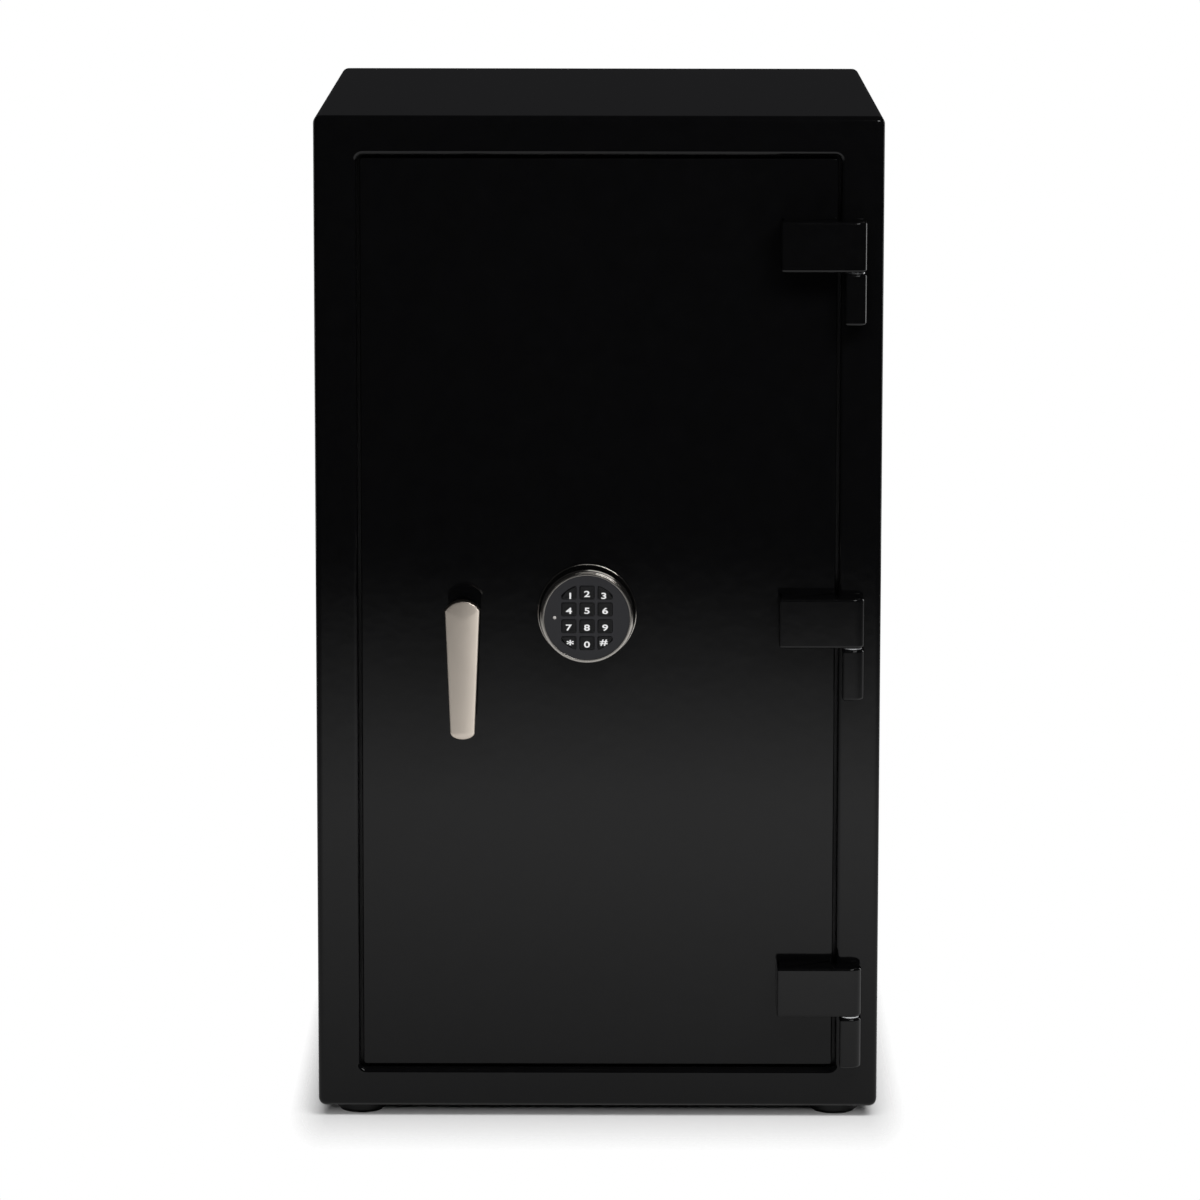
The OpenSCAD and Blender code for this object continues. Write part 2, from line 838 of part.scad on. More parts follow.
module side_bar() {
    bar_end = 5;
    top = side_bolt_top + bar_end;
    rack_z = lock_z - pitch_r - mesh_gap;
    low = -handle_x - rack_spare;
    high = -handle_x + rack_spare + throw;
    color("#7d8084") placed() {
        block([side_bar_x, side_bar_y, mid_z - top],
              [side_bar_x + side_bar_t, side_bar_y + side_bar_d, mid_z + top]);
        translate([0, 0, rack_z]) slab(bar_b_y, bar_t)
            rack(low, high, -handle_x + rack_pitch / 2, side_rack_depth);
        block([min(low, side_bar_x), bar_b_y, rack_z - side_rack_depth],
              [side_bar_x + side_bar_t, side_bar_y + eps, rack_z - root_h]);
        difference() {
            block([side_bar_x, side_bar_y, arm_z], [arm_end, side_bar_y + arm_t, arm_z + arm_h]);
            for (x = [lock_x, lock_x + throw]) {
                block([x - lock_bolt_w / 2 - arm_play, side_bar_y - cut, arm_z - cut],
                      [x + lock_bolt_w / 2 + arm_play, side_bar_y + arm_t + cut, arm_z + arm_notch]);
            }
        }
    }
}

module side_bolts() {
    color("#c3c5c7") placed() at_side_bolts()
        translate([side_bar_x, bolt_y, 0]) rotate([0, -90, 0]) {
            bolt(side_bolt_len);
        }
}

// Upright bar and its bolt, drawn pointing up from the pinion's middle to the bolt's tip
module upright_bolt(tip) {
    rack_low = -rack_spare - throw;
    rack_high = rack_spare;
    slab(bar_a_y, bar_t) {
        translate([-bar_w / 2, rack_low]) square([bar_w, tip - end_bolt_len - rack_low]);
        translate([bar_w / 2 + root_h, 0]) rotate(-90)
            rack(-rack_high, -rack_low, -bar_phase, root_h + eps);
    }
    block([-bolt_r, bar_a_y, tip - end_bolt_len - end_foot_h],
          [bolt_r, bolt_y + bolt_r, tip - end_bolt_len]);
    translate([0, bolt_y, tip - end_bolt_len - eps]) {
        bolt(end_bolt_len);
    }
}

module top_bolt() {
    color("#7d8084") placed() translate([top_bar_x(), 0, lock_z])
        upright_bolt(mid_z + end_rest - lock_z);
}

module bottom_bolt() {
    color("#7d8084") placed() translate([bottom_bar_x(), 0, lock_z]) rotate([0, 180, 0])
        upright_bolt(lock_z - mid_z + end_rest);
}

module bar_guides() {
    wall = 3;
    bridge = 2;
    slip = 0.4;
    guide_h = 24;
    from_lock = 200;
    bar_back = bar_a_y - works_y + bar_t;
    color("#8b8d90") placed()
        for (p = [[top_bar_x(), lock_z + from_lock], [bottom_bar_x(), lock_z - from_lock]]) {
            translate([p.x, works_y, p.y - guide_h / 2]) difference() {
                block([-bar_w / 2 - slip - wall, 0, 0],
                      [bar_w / 2 + slip + wall, bar_back + bridge, guide_h]);
                block([-bar_w / 2 - slip, -cut, -cut],
                      [bar_w / 2 + slip, bar_back + slip, guide_h + cut]);
            }
        }
}

// ---------- Lock ----------

lock_w = 62;
lock_h = 82;
lock_case_gap = 1;
lock_bolt_foot = 11;
lock_foot_room = 1;

module lock_case() {
    top = arm_z - lock_case_gap;
    back = side_bar_y + arm_t;
    color("#9fa1a3") placed() difference() {
        block([lock_x - lock_w / 2, works_y, top - lock_h], [lock_x + lock_w / 2, back, top]);
        lock_bolt_box(bolt_slip / 2, -lock_bolt_foot - lock_foot_room, cut);
    }
}

// Box around the lock's bolt, with a clearance, from its foot to its head above the case's top
module lock_bolt_box(slip, foot, head) {
    y = side_bar_y + arm_t / 2;
    z = arm_z - lock_case_gap;
    block([lock_x - lock_bolt_w / 2 - slip, y - lock_bolt_t / 2 - slip, z + foot],
          [lock_x + lock_bolt_w / 2 + slip, y + lock_bolt_t / 2 + slip, z + head]);
}

module lock_bolt() {
    color("#c2a14e") placed() lock_bolt_box(0, -lock_bolt_foot, 0);
}

module lock_cable() {
    color("#1a1a1b") placed()
        rod_y(-keypad_x, lock_z - cable_drop, circuit_y + circuit_t,
              works_y - circuit_y - circuit_t, cable_d / 2);
}

// ---------- Keypad ----------

// Turns a profile of radius and distance from the door's face into a round piece on the door
module keypad_turned() {
    translate([-keypad_x, door_recess, lock_z]) rotate([90, 0, 0]) rotate_extrude() children();
}

battery_w = 26.5;
battery_h = 48.5;
battery_t = 17.5;
battery_slip = 0.5;
battery_gap = 0.4;

module battery_box(slip) {
    y = circuit_y + circuit_t + battery_gap;
    translate([-keypad_x, 0, lock_z]) block([-battery_w / 2 - slip, y, -battery_h / 2 - slip],
        [battery_w / 2 + slip, min(y + battery_t, door_recess), battery_h / 2 + slip]);
}

module keypad_base() {
    color("#9c9c99") placed() difference() {
        keypad_turned() square([keypad_base_d / 2, keypad_plate_t]);
        battery_box(battery_slip);
        rod_y(-keypad_x, lock_z - cable_drop, -cut, door_recess + 2 * cut, keypad_bore_r);
    }
}

module keypad_housing() {
    face_slip = 0.1;
    bore = keypad_face_d / 2 + face_slip;
    base_edge = 0.5;
    band_h = 5;
    band_edge = 0.8;
    bezel_h = 3;
    bezel_edge = 0.7;
    bezel_start = keypad_depth - bezel_h;
    band_start = bezel_start - band_h;
    base_r = keypad_base_d / 2 - base_edge;
    band_r = keypad_band_d / 2;
    bezel_r = keypad_bezel_d / 2;
    ledge = keypad_depth - face_sink - face_t;
    color("#a3a39f") placed() keypad_turned() {
        difference() {
            polygon([[0, keypad_plate_t], [base_r, keypad_plate_t],
                     [band_r + band_edge, band_start - band_edge], [band_r, band_start],
                     [band_r, bezel_start], [bezel_r, bezel_start],
                     [bezel_r, keypad_depth - bezel_edge], [bezel_r - bezel_edge, keypad_depth],
                     [0, keypad_depth]]);
            translate([-cut, keypad_plate_t - cut]) square([bore + cut, keypad_depth]);
        }
        translate([ledge_r, ledge - ledge_t]) square([bore - ledge_r + eps, ledge_t]);
    }
}

// Column, row from the top, and places of the keys
function key_col(i) = i % 3 - 1;
function key_row(i) = 1.5 - floor(i / 3);

// Outline of a key's window or cap, grown by an amount
module key_outline(i, grow) {
    intersection() {
        translate([key_col(i) * key_step_x, key_row(i) * key_step_z])
            round_rect(key_w + 2 * grow, key_h + 2 * grow, key_corner + grow);
        circle(r = key_trim_r + grow);
    }
}

led_x = 29;
led_r = 1.6;

module keypad_face() {
    color("#3d3d40") placed() translate([-keypad_x, 0, lock_z]) slab(face_y, face_t) difference() {
        circle(d = keypad_face_d);
        for (i = [0 : len(KEYS) - 1]) key_outline(i, key_slip);
        translate([-led_x, 0]) circle(r = led_r);
    }
}

module keypad_led() {
    proud = 0.3;
    color("#b9b4b0") placed()
        rod_y(-keypad_x - led_x, lock_z, face_y - proud, face_t + proud, led_r);
}

module keypad_circuit() {
    edge_room = 1;
    color("#2f5a3c") placed()
        rod_y(-keypad_x, lock_z, circuit_y, circuit_t, ledge_r - edge_room);
}

module keypad_battery() {
    color("#33373c") placed() battery_box(0);
}

module key(i) {
    play = 0.1;
    color("#1b1b1d") placed() translate([-keypad_x, 0, lock_z]) {
        slab(face_y - key_proud, face_t + key_proud + play + eps) key_outline(i, 0);
        slab(face_y + face_t + play, flange_t) key_outline(i, flange_w);
    }
}

// ---------- Handle ----------

function lever_back() = -handle_reach + lever_t;

// Outline of the lever: a round top about the axis, straight tapering sides, a shallow round end
module lever_outline() {
    corner = sqrt(lever_top_r ^ 2 - (lever_w / 2) ^ 2);
    sag = 5;
    end_r = ((lever_end_w / 2) ^ 2 + sag ^ 2) / (2 * sag);
    intersection() {
        union() {
            circle(r = lever_top_r);
            translate([-lever_w / 2, -lever_reach]) square([lever_w, lever_reach]);
        }
        polygon([[-lever_w / 2, lever_top_r], [lever_w / 2, lever_top_r], [lever_w / 2, corner],
                 [lever_end_w / 2, sag - lever_reach], [lever_end_w / 2, -lever_reach],
                 [-lever_end_w / 2, -lever_reach], [-lever_end_w / 2, sag - lever_reach],
                 [-lever_w / 2, corner]]);
        union() {
            translate([0, end_r - lever_reach]) circle(r = end_r);
            translate([-lever_w, sag - lever_reach]) square([2 * lever_w, 2 * lever_reach]);
        }
    }
}

module lever() {
    color("#b5aea8") placed() translate([-handle_x, 0, lock_z])
        slab(-handle_reach, lever_t) lever_outline();
}

module handle_hub() {
    face_play = 0.3;
    color("#77757a") placed() difference() {
        rod_y(-handle_x, lock_z, lever_back(), door_recess - face_play - lever_back(), hub_d / 2);
        rod_y(-handle_x, lock_z, lever_back() - cut, door_recess - lever_back() + 2 * cut,
              spindle_d / 2);
    }
}

// ---------- Pieces ----------

outer_shell();
jamb_sides();
jamb_ends();
board_left();
board_right();
board_top();
board_bottom();
board_back();
lining();
feet();
hinge_knuckles();
hinge_pins();
hinge_washers();
divider();
top_shelf();
small_shelves();
shelf_cleats();
barrel_rest();
stock_pad();
door_plate();
door_seal();
door_board();
door_pan();
bolt_plate();
drill_plate();
bar_guides();
dead_bolts();
door_cover();
cover_screws();
hinge_straps();
spindle_bush();
lock_case();
lock_cable();
keypad_base();
keypad_housing();
keypad_face();
keypad_led();
keypad_circuit();
keypad_battery();
lever();
handle_hub();
spindle();
pinion();
side_bar();
side_bolts();
top_bolt();
bottom_bolt();
lock_bolt();
for (i = [0 : len(KEYS) - 1]) {
    key(i);
}
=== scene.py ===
import json
import math

import bpy
import numpy as np
from mathutils import Matrix, Vector


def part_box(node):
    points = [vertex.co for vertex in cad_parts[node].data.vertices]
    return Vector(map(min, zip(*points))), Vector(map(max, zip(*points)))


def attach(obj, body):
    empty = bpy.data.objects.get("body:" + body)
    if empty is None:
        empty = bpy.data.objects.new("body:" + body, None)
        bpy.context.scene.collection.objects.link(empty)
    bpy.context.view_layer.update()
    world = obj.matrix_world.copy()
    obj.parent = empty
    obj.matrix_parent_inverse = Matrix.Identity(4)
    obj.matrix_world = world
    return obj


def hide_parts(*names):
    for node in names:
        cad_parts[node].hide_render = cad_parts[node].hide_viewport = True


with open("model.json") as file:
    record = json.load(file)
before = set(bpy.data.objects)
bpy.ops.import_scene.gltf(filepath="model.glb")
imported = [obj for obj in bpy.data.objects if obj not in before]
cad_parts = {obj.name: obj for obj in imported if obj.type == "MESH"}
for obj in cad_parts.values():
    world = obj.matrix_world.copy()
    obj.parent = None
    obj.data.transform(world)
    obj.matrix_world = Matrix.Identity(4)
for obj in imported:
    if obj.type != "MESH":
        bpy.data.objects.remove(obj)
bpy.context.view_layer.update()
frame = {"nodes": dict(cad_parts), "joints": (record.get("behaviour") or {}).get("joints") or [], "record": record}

bl_info = {
    "name": "Compact gun safe",
    "version": (1, 0, 0),
    "blender": (4, 5, 0),
    "location": "View3D > Sidebar > Gun safe",
    "description": "Builds the looks of a compact steel gun safe round its packed frame",
    "category": "Add Mesh",
}

MM = 0.001
ARC_STEPS = 6
TURN_SIDES = 72
SHARP_ANGLE = math.radians(32)
KEY_MARKS = {"key_star": "*", "key_0": "0", "key_hash": "#"}
KEYS = [f"key_{digit}" for digit in range(1, 10)] + list(KEY_MARKS)
KEY_COLUMNS = 3
HINGE_COUNT = 3
NOTCH_COUNT = BOLTS_A_SIDE = 4
SCREW_ROWS = 3
CORNER_SHRINK = 0.1

# Shares of a radius at which turned pieces are capped, a screw's socket, and how far crowns run
CORE, FOOT_CORE, SOCKET_CORE, SOCKET = 0.5, 0.4, 0.3, 0.42
CROWN_REACH, PAD_REACH = 0.94, 0.96

# Drills for holes, and the radii of small edges
DRILL_SIDES, DRILL_REACH, DRILL_ROUND = 40, 20 * MM, 0.1 * MM
ANCHOR_DRILL = (-5 * MM, 30 * MM)
TINY_ROUND, SMALL_ROUND, SOFT_ROUND, WIDE_ROUND = 0.2 * MM, 0.3 * MM, 0.5 * MM, 0.8 * MM

# Printed figures, the keys' dish and the keypad's roundness
FONT_SIZE, STAR_SIZE, FIGURE_STRETCH = 1.36, 1.35, 1.45
FIGURE_RAISE, FIGURE_SINK, FIGURE_ROOM, FIGURE_BOLD = 0.15 * MM, 0.1 * MM, 4.5 * MM, 0.03
KEY_DISH = [(1.8 * MM, 0.05 * MM), (3.2 * MM, 0.16 * MM), (4.6 * MM, 0.22 * MM)]
KEYPAD_SIDES = 128

# Shade at the body's sides, and the colours of the studio
SIDE_SHADE = 4
FLOOR_COLOUR, STUDIO_COLOUR, BACKDROP_COLOUR = (0.86,) * 3, (0.02, 0.02, 0.021), (1, 1, 1)

# Light: place, what it points at, width, height, power, whether gloss mirrors it, and the only
# pieces that it shines on where it doesn't shine on everything
LIGHTS = {
    "Front softbox": ((0.45, -1.9, 2.0), (0.45, -1.85, 0), 2.8, 1.0, 62, False, ()),
    "Rear softbox": ((0, 2.4, 3.0), (0, 0.6, 0), 3.0, 1.6, 20, False, ()),
    "Left panel": ((-2.6, 1.6, 0.9), (0, -0.2, 0.45), 0.7, 1.8, 8, True, ()),
    "Right panel": ((2.6, 1.6, 0.9), (0, -0.2, 0.45), 0.7, 1.8, 10, True, ()),
    "Strip light": ((1.1, -1.9, 2.3), (0, -0.3, 0.6), 1.4, 0.5, 24, True, ()),
    "Trim light": ((0.35, -0.6, 1.7), (0, -0.28, 0.46), 1.8, 0.7, 4, True,
                   ("keypad_shell", "keypad_base_plate")),
    "Key light": ((1.25, -5.0, 0.4), (-0.1, -0.3, 0.45), 0.3, 0.6, 30, True,
                  ("lever_handle", "handle_collar")),
}


# ---------- Places read from the frame ----------


def span(node):
    """Lowest and highest corner of a CAD node at rest, as two arrays."""
    low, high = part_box(node)
    return np.array(low), np.array(high)


def joint(name):
    """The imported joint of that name."""
    return next(j for j in frame["joints"] if j["name"] == name)


def opening():
    """Middle and half size of the door opening: the door plate grown by its gap."""
    low, high = span("door_plate")
    gap = bpy.context.scene.safe_body.door_gap
    return (low + high) / 2, (high - low) / 2 + gap


# ---------- Outlines ----------


def arc(centre, radius, start, end, steps=ARC_STEPS):
    """Points of an arc: centre + radius (cos a, sin a), a running evenly from start to end."""
    a = np.radians(np.linspace(start, end, steps + 1))
    return np.asarray(centre) + radius * np.stack([np.cos(a), np.sin(a)], -1)


def rounded(corners, radii):
    """Closed outline with each corner turned into an arc that touches both its sides.

    The arc's middle lies radius / sin(half the corner's angle) along the corner's bisector,
    and the arc swings evenly between the two points where it meets the sides. A radius of 0
    keeps the corner as one point.
    """
    corners = np.asarray(corners, float)
    radii = np.broadcast_to(np.asarray(radii, float), len(corners))
    back = np.roll(corners, 1, 0) - corners
    ahead = np.roll(corners, -1, 0) - corners
    back /= np.linalg.norm(back, axis=1, keepdims=True)
    ahead /= np.linalg.norm(ahead, axis=1, keepdims=True)
    half = np.arccos(np.clip((back * ahead).sum(1), -0.9999, 0.9999)) / 2
    reach = (radii / np.tan(half))[:, None]
    bisector = back + ahead
    bisector /= np.maximum(np.linalg.norm(bisector, axis=1, keepdims=True), 1e-9)
    middle = corners + bisector * (radii / np.sin(half))[:, None]
    start = (corners + back * reach - middle)[:, None]
    stop = (corners + ahead * reach - middle)[:, None]
    swing = (math.pi - 2 * half)[:, None, None]
    s = np.linspace(0, 1, ARC_STEPS + 1)[None, :, None]
    points = middle[:, None] + (
        np.sin((1 - s) * swing) * start + np.sin(s * swing) * stop
    ) / np.sin(swing)
    plain = radii == 0
    points[plain, 0] = corners[plain]
    keep = np.ones(points.shape[:2], bool)
    keep[plain, 1:] = False
    return points[keep]


def bead(radius, steps=ARC_STEPS):
    """Quarter round as (inset, rise): radius (1 - sin a) and radius (1 - cos a), a from 0 to 90."""
    a = np.radians(np.linspace(0, 90, steps + 1))
    return radius * np.stack([1 - np.sin(a), 1 - np.cos(a)], -1)


def slab_profile(low, high, low_round, high_round):
    """Edge of a slab as (inset, depth): a quarter round at each end with a straight run between."""
    first, last = bead(low_round), bead(high_round)[::-1]
    return np.concatenate([
        np.stack([first[:, 0], low + first[:, 1]], -1),
        np.stack([last[:, 0], high - last[:, 1]], -1),
    ])


# ---------- Surfaces: each is (points, blocks of faces with the same number of sides) ----------


def stand(u, v, w, axis):
    """Puts sideways u, upward v and depth w on the frame's axes, with w along the named axis."""
    order = {"x": (w, u, v), "y": (u, w, v), "z": (u, v, w)}[axis]
    return np.stack(np.broadcast_arrays(*order), -1)


def skin(rings, endless=False):
    """Surface through rings: point (i, j), its neighbour (i, j + 1) and the two after them on
    ring i + 1 make one face, and j closes on itself. The first and last ring are capped,
    or joined to each other when the surface is endless."""
    count, size = rings.shape[:2]
    i, j = np.meshgrid(np.arange(count - (not endless)), np.arange(size), indexing="ij")
    after, turned_j = (i + 1) % count, (j + 1) % size
    quads = np.stack(
        [i * size + j, i * size + turned_j, after * size + turned_j, after * size + j], -1
    ).reshape(-1, 4)
    if endless:
        return rings.reshape(-1, 3), [quads]
    ring = np.arange(size)
    caps = np.stack([ring[::-1], ring + (count - 1) * size])
    return rings.reshape(-1, 3), [quads, caps]


def rectangle_skin(centre, halves, corners, depths, axis="y"):
    """Round-cornered rectangles, one for each depth: in the corner with signs s the point is
    s (half - r) + r (cos a, sin a), with r that ring's corner radius."""
    a = np.radians(np.linspace(0, 90, ARC_STEPS + 1)[None, :] + 90 * np.arange(4)[:, None])
    a = a.ravel()
    sign_u = np.repeat([1, -1, -1, 1], ARC_STEPS + 1)
    sign_v = np.repeat([1, 1, -1, -1], ARC_STEPS + 1)
    halves = np.broadcast_to(halves, (len(depths), 2))
    r = np.maximum(np.broadcast_to(corners, len(depths)), TINY_ROUND)[:, None]
    u = sign_u * (halves[:, :1] - r) + r * np.cos(a)
    v = sign_v * (halves[:, 1:] - r) + r * np.sin(a)
    return skin(stand(u, v, np.asarray(depths)[:, None], axis) + np.asarray(centre))


def moulded_block(low, high, corner, edge, axis="y", edge_back=None):
    """Round-cornered block between two corners, its two ends along the axis rounded by edge."""
    low, high = np.asarray(low, float), np.asarray(high, float)
    centre, half = (low + high) / 2, (high - low) / 2
    k = "xyz".index(axis)
    flat = [n for n in range(3) if n != k]
    profile = slab_profile(-half[k], half[k], edge, edge if edge_back is None else edge_back)
    halves = half[flat] - profile[:, :1]
    return rectangle_skin(centre, halves, corner - profile[:, 0], profile[:, 1], axis)


def outline_skin(outline, profile, centre, axis):
    """Outline carried along a profile of (inset, depth). Each point moves in along the mitre of
    its two sides' outward normals: (n1 + n2) / (1 + n1 . n2)."""
    outline = np.asarray(outline, float)
    x, y = outline.T
    if (x * np.roll(y, -1) - y * np.roll(x, -1)).sum() < 0:
        outline = outline[::-1]
    side = np.roll(outline, -1, 0) - outline
    normal = np.stack([side[:, 1], -side[:, 0]], -1)
    normal /= np.linalg.norm(normal, axis=1, keepdims=True)
    before = np.roll(normal, 1, 0)
    mitre = (normal + before) / (1 + (normal * before).sum(1, keepdims=True))
    ring = outline[None] - profile[:, 0, None, None] * mitre[None]
    return skin(stand(ring[..., 0], ring[..., 1], profile[:, 1, None], axis) + np.asarray(centre))


def turned(profile, centre, axis, sides=TURN_SIDES, endless=False):
    """Profile of (radius, depth) turned about an axis: (radius cos a, radius sin a, depth)."""
    profile = np.asarray(profile, float)
    a = np.linspace(0, 2 * math.pi, sides, endpoint=False)
    u, v = profile[:, :1] * np.cos(a), profile[:, :1] * np.sin(a)
    return skin(stand(u, v, profile[:, 1:], axis) + np.asarray(centre), endless)


def turned_bar(radius, low, high, low_round, high_round, centre, axis, sides=TURN_SIDES):
    """Round bar from low to high along an axis, with both ends' edges rounded."""
    profile = slab_profile(low, high, low_round, high_round)
    return turned(np.stack([radius - profile[:, 0], profile[:, 1]], -1), centre, axis, sides)


def moved(surface, *offsets):
    """Copies of a surface, one at each offset."""
    points, blocks = surface
    return [(points + np.asarray(offset), blocks) for offset in offsets]


def volume(points, blocks):
    """Signed volume inside a closed surface: the sum of a . (b x c) / 6 over fans of triangles."""
    total = 0.0
    for block in blocks:
        first = points[block[:, 0]]
        for k in range(1, block.shape[1] - 1):
            second, third = points[block[:, k]], points[block[:, k + 1]]
            total += (first * np.cross(second, third)).sum() / 6
    return total


# ---------- Pieces ----------


def mesh_of(name, surfaces):
    """One mesh from closed surfaces, each turned so that its faces point outwards."""
    points, faces, count = [], [], 0
    for place, blocks in surfaces:
        flip = slice(None, None, -1 if volume(place, blocks) < 0 else 1)
        for block in blocks:
            faces.extend((block[:, flip] + count).tolist())
        points.append(place)
        count += len(place)
    mesh = bpy.data.meshes.new(name)
    mesh.from_pydata(np.concatenate(points).tolist(), [], faces)
    mesh.update()
    return mesh


def drilled(mesh, surfaces):
    """The mesh with closed surfaces cut out of it."""
    block = bpy.data.objects.new("Block", mesh)
    drill = bpy.data.objects.new("Drill", mesh_of("Drill", surfaces))
    for obj in (block, drill):
        bpy.context.scene.collection.objects.link(obj)
    cut = block.modifiers.new("Cut", "BOOLEAN")
    cut.object, cut.operation, cut.solver = drill, "DIFFERENCE", "EXACT"
    depsgraph = bpy.context.evaluated_depsgraph_get()
    result = bpy.data.meshes.new_from_object(block.evaluated_get(depsgraph))
    result.name = mesh.name
    for obj in (block, drill):
        bpy.data.objects.remove(obj)
    return result


def add_piece(name, mesh, finish, body, replaces=(), even=True):
    """Adds a mesh as a piece that rides on a body, wears a finish and stands for CAD nodes."""
    mesh.shade_smooth()
    mesh.set_sharp_from_angle(angle=SHARP_ANGLE)
    mesh.materials.clear()
    mesh.materials.append(bpy.data.materials[finish])
    piece = bpy.data.objects.new(name, mesh)
    bpy.context.scene.collection.objects.link(piece)
    if even:
        shading = piece.modifiers.new("Even shading", "WEIGHTED_NORMAL")
        shading.keep_sharp = True
    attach(piece, body)
    if replaces:
        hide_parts(*replaces)
    return piece


def add_surfaces(name, surfaces, finish, body, replaces=()):
    """Adds closed surfaces as one piece."""
    return add_piece(name, mesh_of(name, surfaces), finish, body, replaces)


# ---------- Effects that several finishes share ----------


def tree_of(owner):
    """Nodes and links of a material or a world."""
    owner.use_nodes = True
    return owner.node_tree.nodes, owner.node_tree.links


def add_node(nodes, links, kind, sources=(), values=(), **settings):
    """Shader node with its settings, what feeds its inputs, and its inputs' fixed values."""
    node = nodes.new("ShaderNode" + kind)
    for name, value in settings.items():
        setattr(node, name, value)
    for socket, value in dict(values).items():
        node.inputs[socket].default_value = value
    for socket, source in dict(sources).items():
        links.new(source, node.inputs[socket])
    return node


def new_effect(name, build):
    """Node group with a place, a stretch and two scales in, and tone, gloss and height out."""
    group = bpy.data.node_groups.new(name, "ShaderNodeTree")
    for label, kind, value in (
        ("Place", "NodeSocketVector", (0, 0, 0)),
        ("Stretch", "NodeSocketVector", (1, 1, 1)),
        ("Grain scale", "NodeSocketFloat", 400.0),
        ("Patch scale", "NodeSocketFloat", 6.0),
    ):
        socket = group.interface.new_socket(name=label, in_out="INPUT", socket_type=kind)
        socket.default_value = value
    for label in ("Tone", "Gloss", "Height"):
        group.interface.new_socket(name=label, in_out="OUTPUT", socket_type="NodeSocketFloat")
    nodes, links = group.nodes, group.links
    source, sink = nodes.new("NodeGroupInput"), nodes.new("NodeGroupOutput")
    given = source.outputs
    stretched = add_node(nodes, links, "VectorMath", {0: given["Place"], 1: given["Stretch"]},
                         operation="MULTIPLY")
    patches = noise(nodes, links, given["Place"], given["Patch scale"], 5, 0.6)
    result = build(nodes, links, stretched.outputs[0], given["Grain scale"], patches)
    for label, value in zip(("Tone", "Gloss", "Height"), result):
        links.new(value, sink.inputs[label])


def noise(nodes, links, vector, scale, detail, roughness=0.55):
    """Fractal noise, its value from 0 to 1."""
    texture = add_node(nodes, links, "TexNoise", {"Vector": vector, "Scale": scale},
                       {"Detail": detail, "Roughness": roughness})
    return texture.outputs["Fac"]


def cells(nodes, links, vector, scale):
    """Distance to the nearest of many scattered points."""
    texture = add_node(nodes, links, "TexVoronoi", {"Vector": vector, "Scale": scale})
    return texture.outputs["Distance"]


def blended(nodes, links, first, second, share):
    """first (1 - share) + second share."""
    mix = add_node(nodes, links, "Mix", {"A": first, "B": second}, {"Factor": share})
    return mix.outputs["Result"]


def paint_film(nodes, links, vector, scale, patches):
    """Sprayed enamel: a shallow orange peel, with wiped patches that are a little duller."""
    peel = noise(nodes, links, vector, scale, 1)
    return peel, patches, peel


def brushed_grain(nodes, links, vector, scale, patches):
    """Fine scratches drawn out along the stretch, with soft patches under them."""
    grain = noise(nodes, links, vector, scale, 9, 0.7)
    return (blended(nodes, links, grain, patches, 0.35),
            blended(nodes, links, grain, patches, 0.5), grain)


def short_pile(nodes, links, vector, scale, patches):
    """Needle-punched pile: scattered tufts, with trodden patches."""
    tufts = cells(nodes, links, vector, scale)
    fuzz = noise(nodes, links, vector, scale, 3, 0.8)
    pile = blended(nodes, links, tufts, fuzz, 0.5)
    return blended(nodes, links, pile, patches, 0.3), patches, pile


def moulded_grain(nodes, links, vector, scale, patches):
    """Fine even texture of moulded plastic, rubber, foam and board."""
    grain = noise(nodes, links, vector, scale, 4, 0.65)
    return blended(nodes, links, grain, patches, 0.5), patches, grain


EFFECTS = {
    "Paint film": paint_film,
    "Brushed grain": brushed_grain,
    "Short pile": short_pile,
    "Moulded grain": moulded_grain,
}

ALONG_X, ALONG_Z, EVEN = (0.04, 1, 1), (1, 1, 0.04), (1, 1, 1)

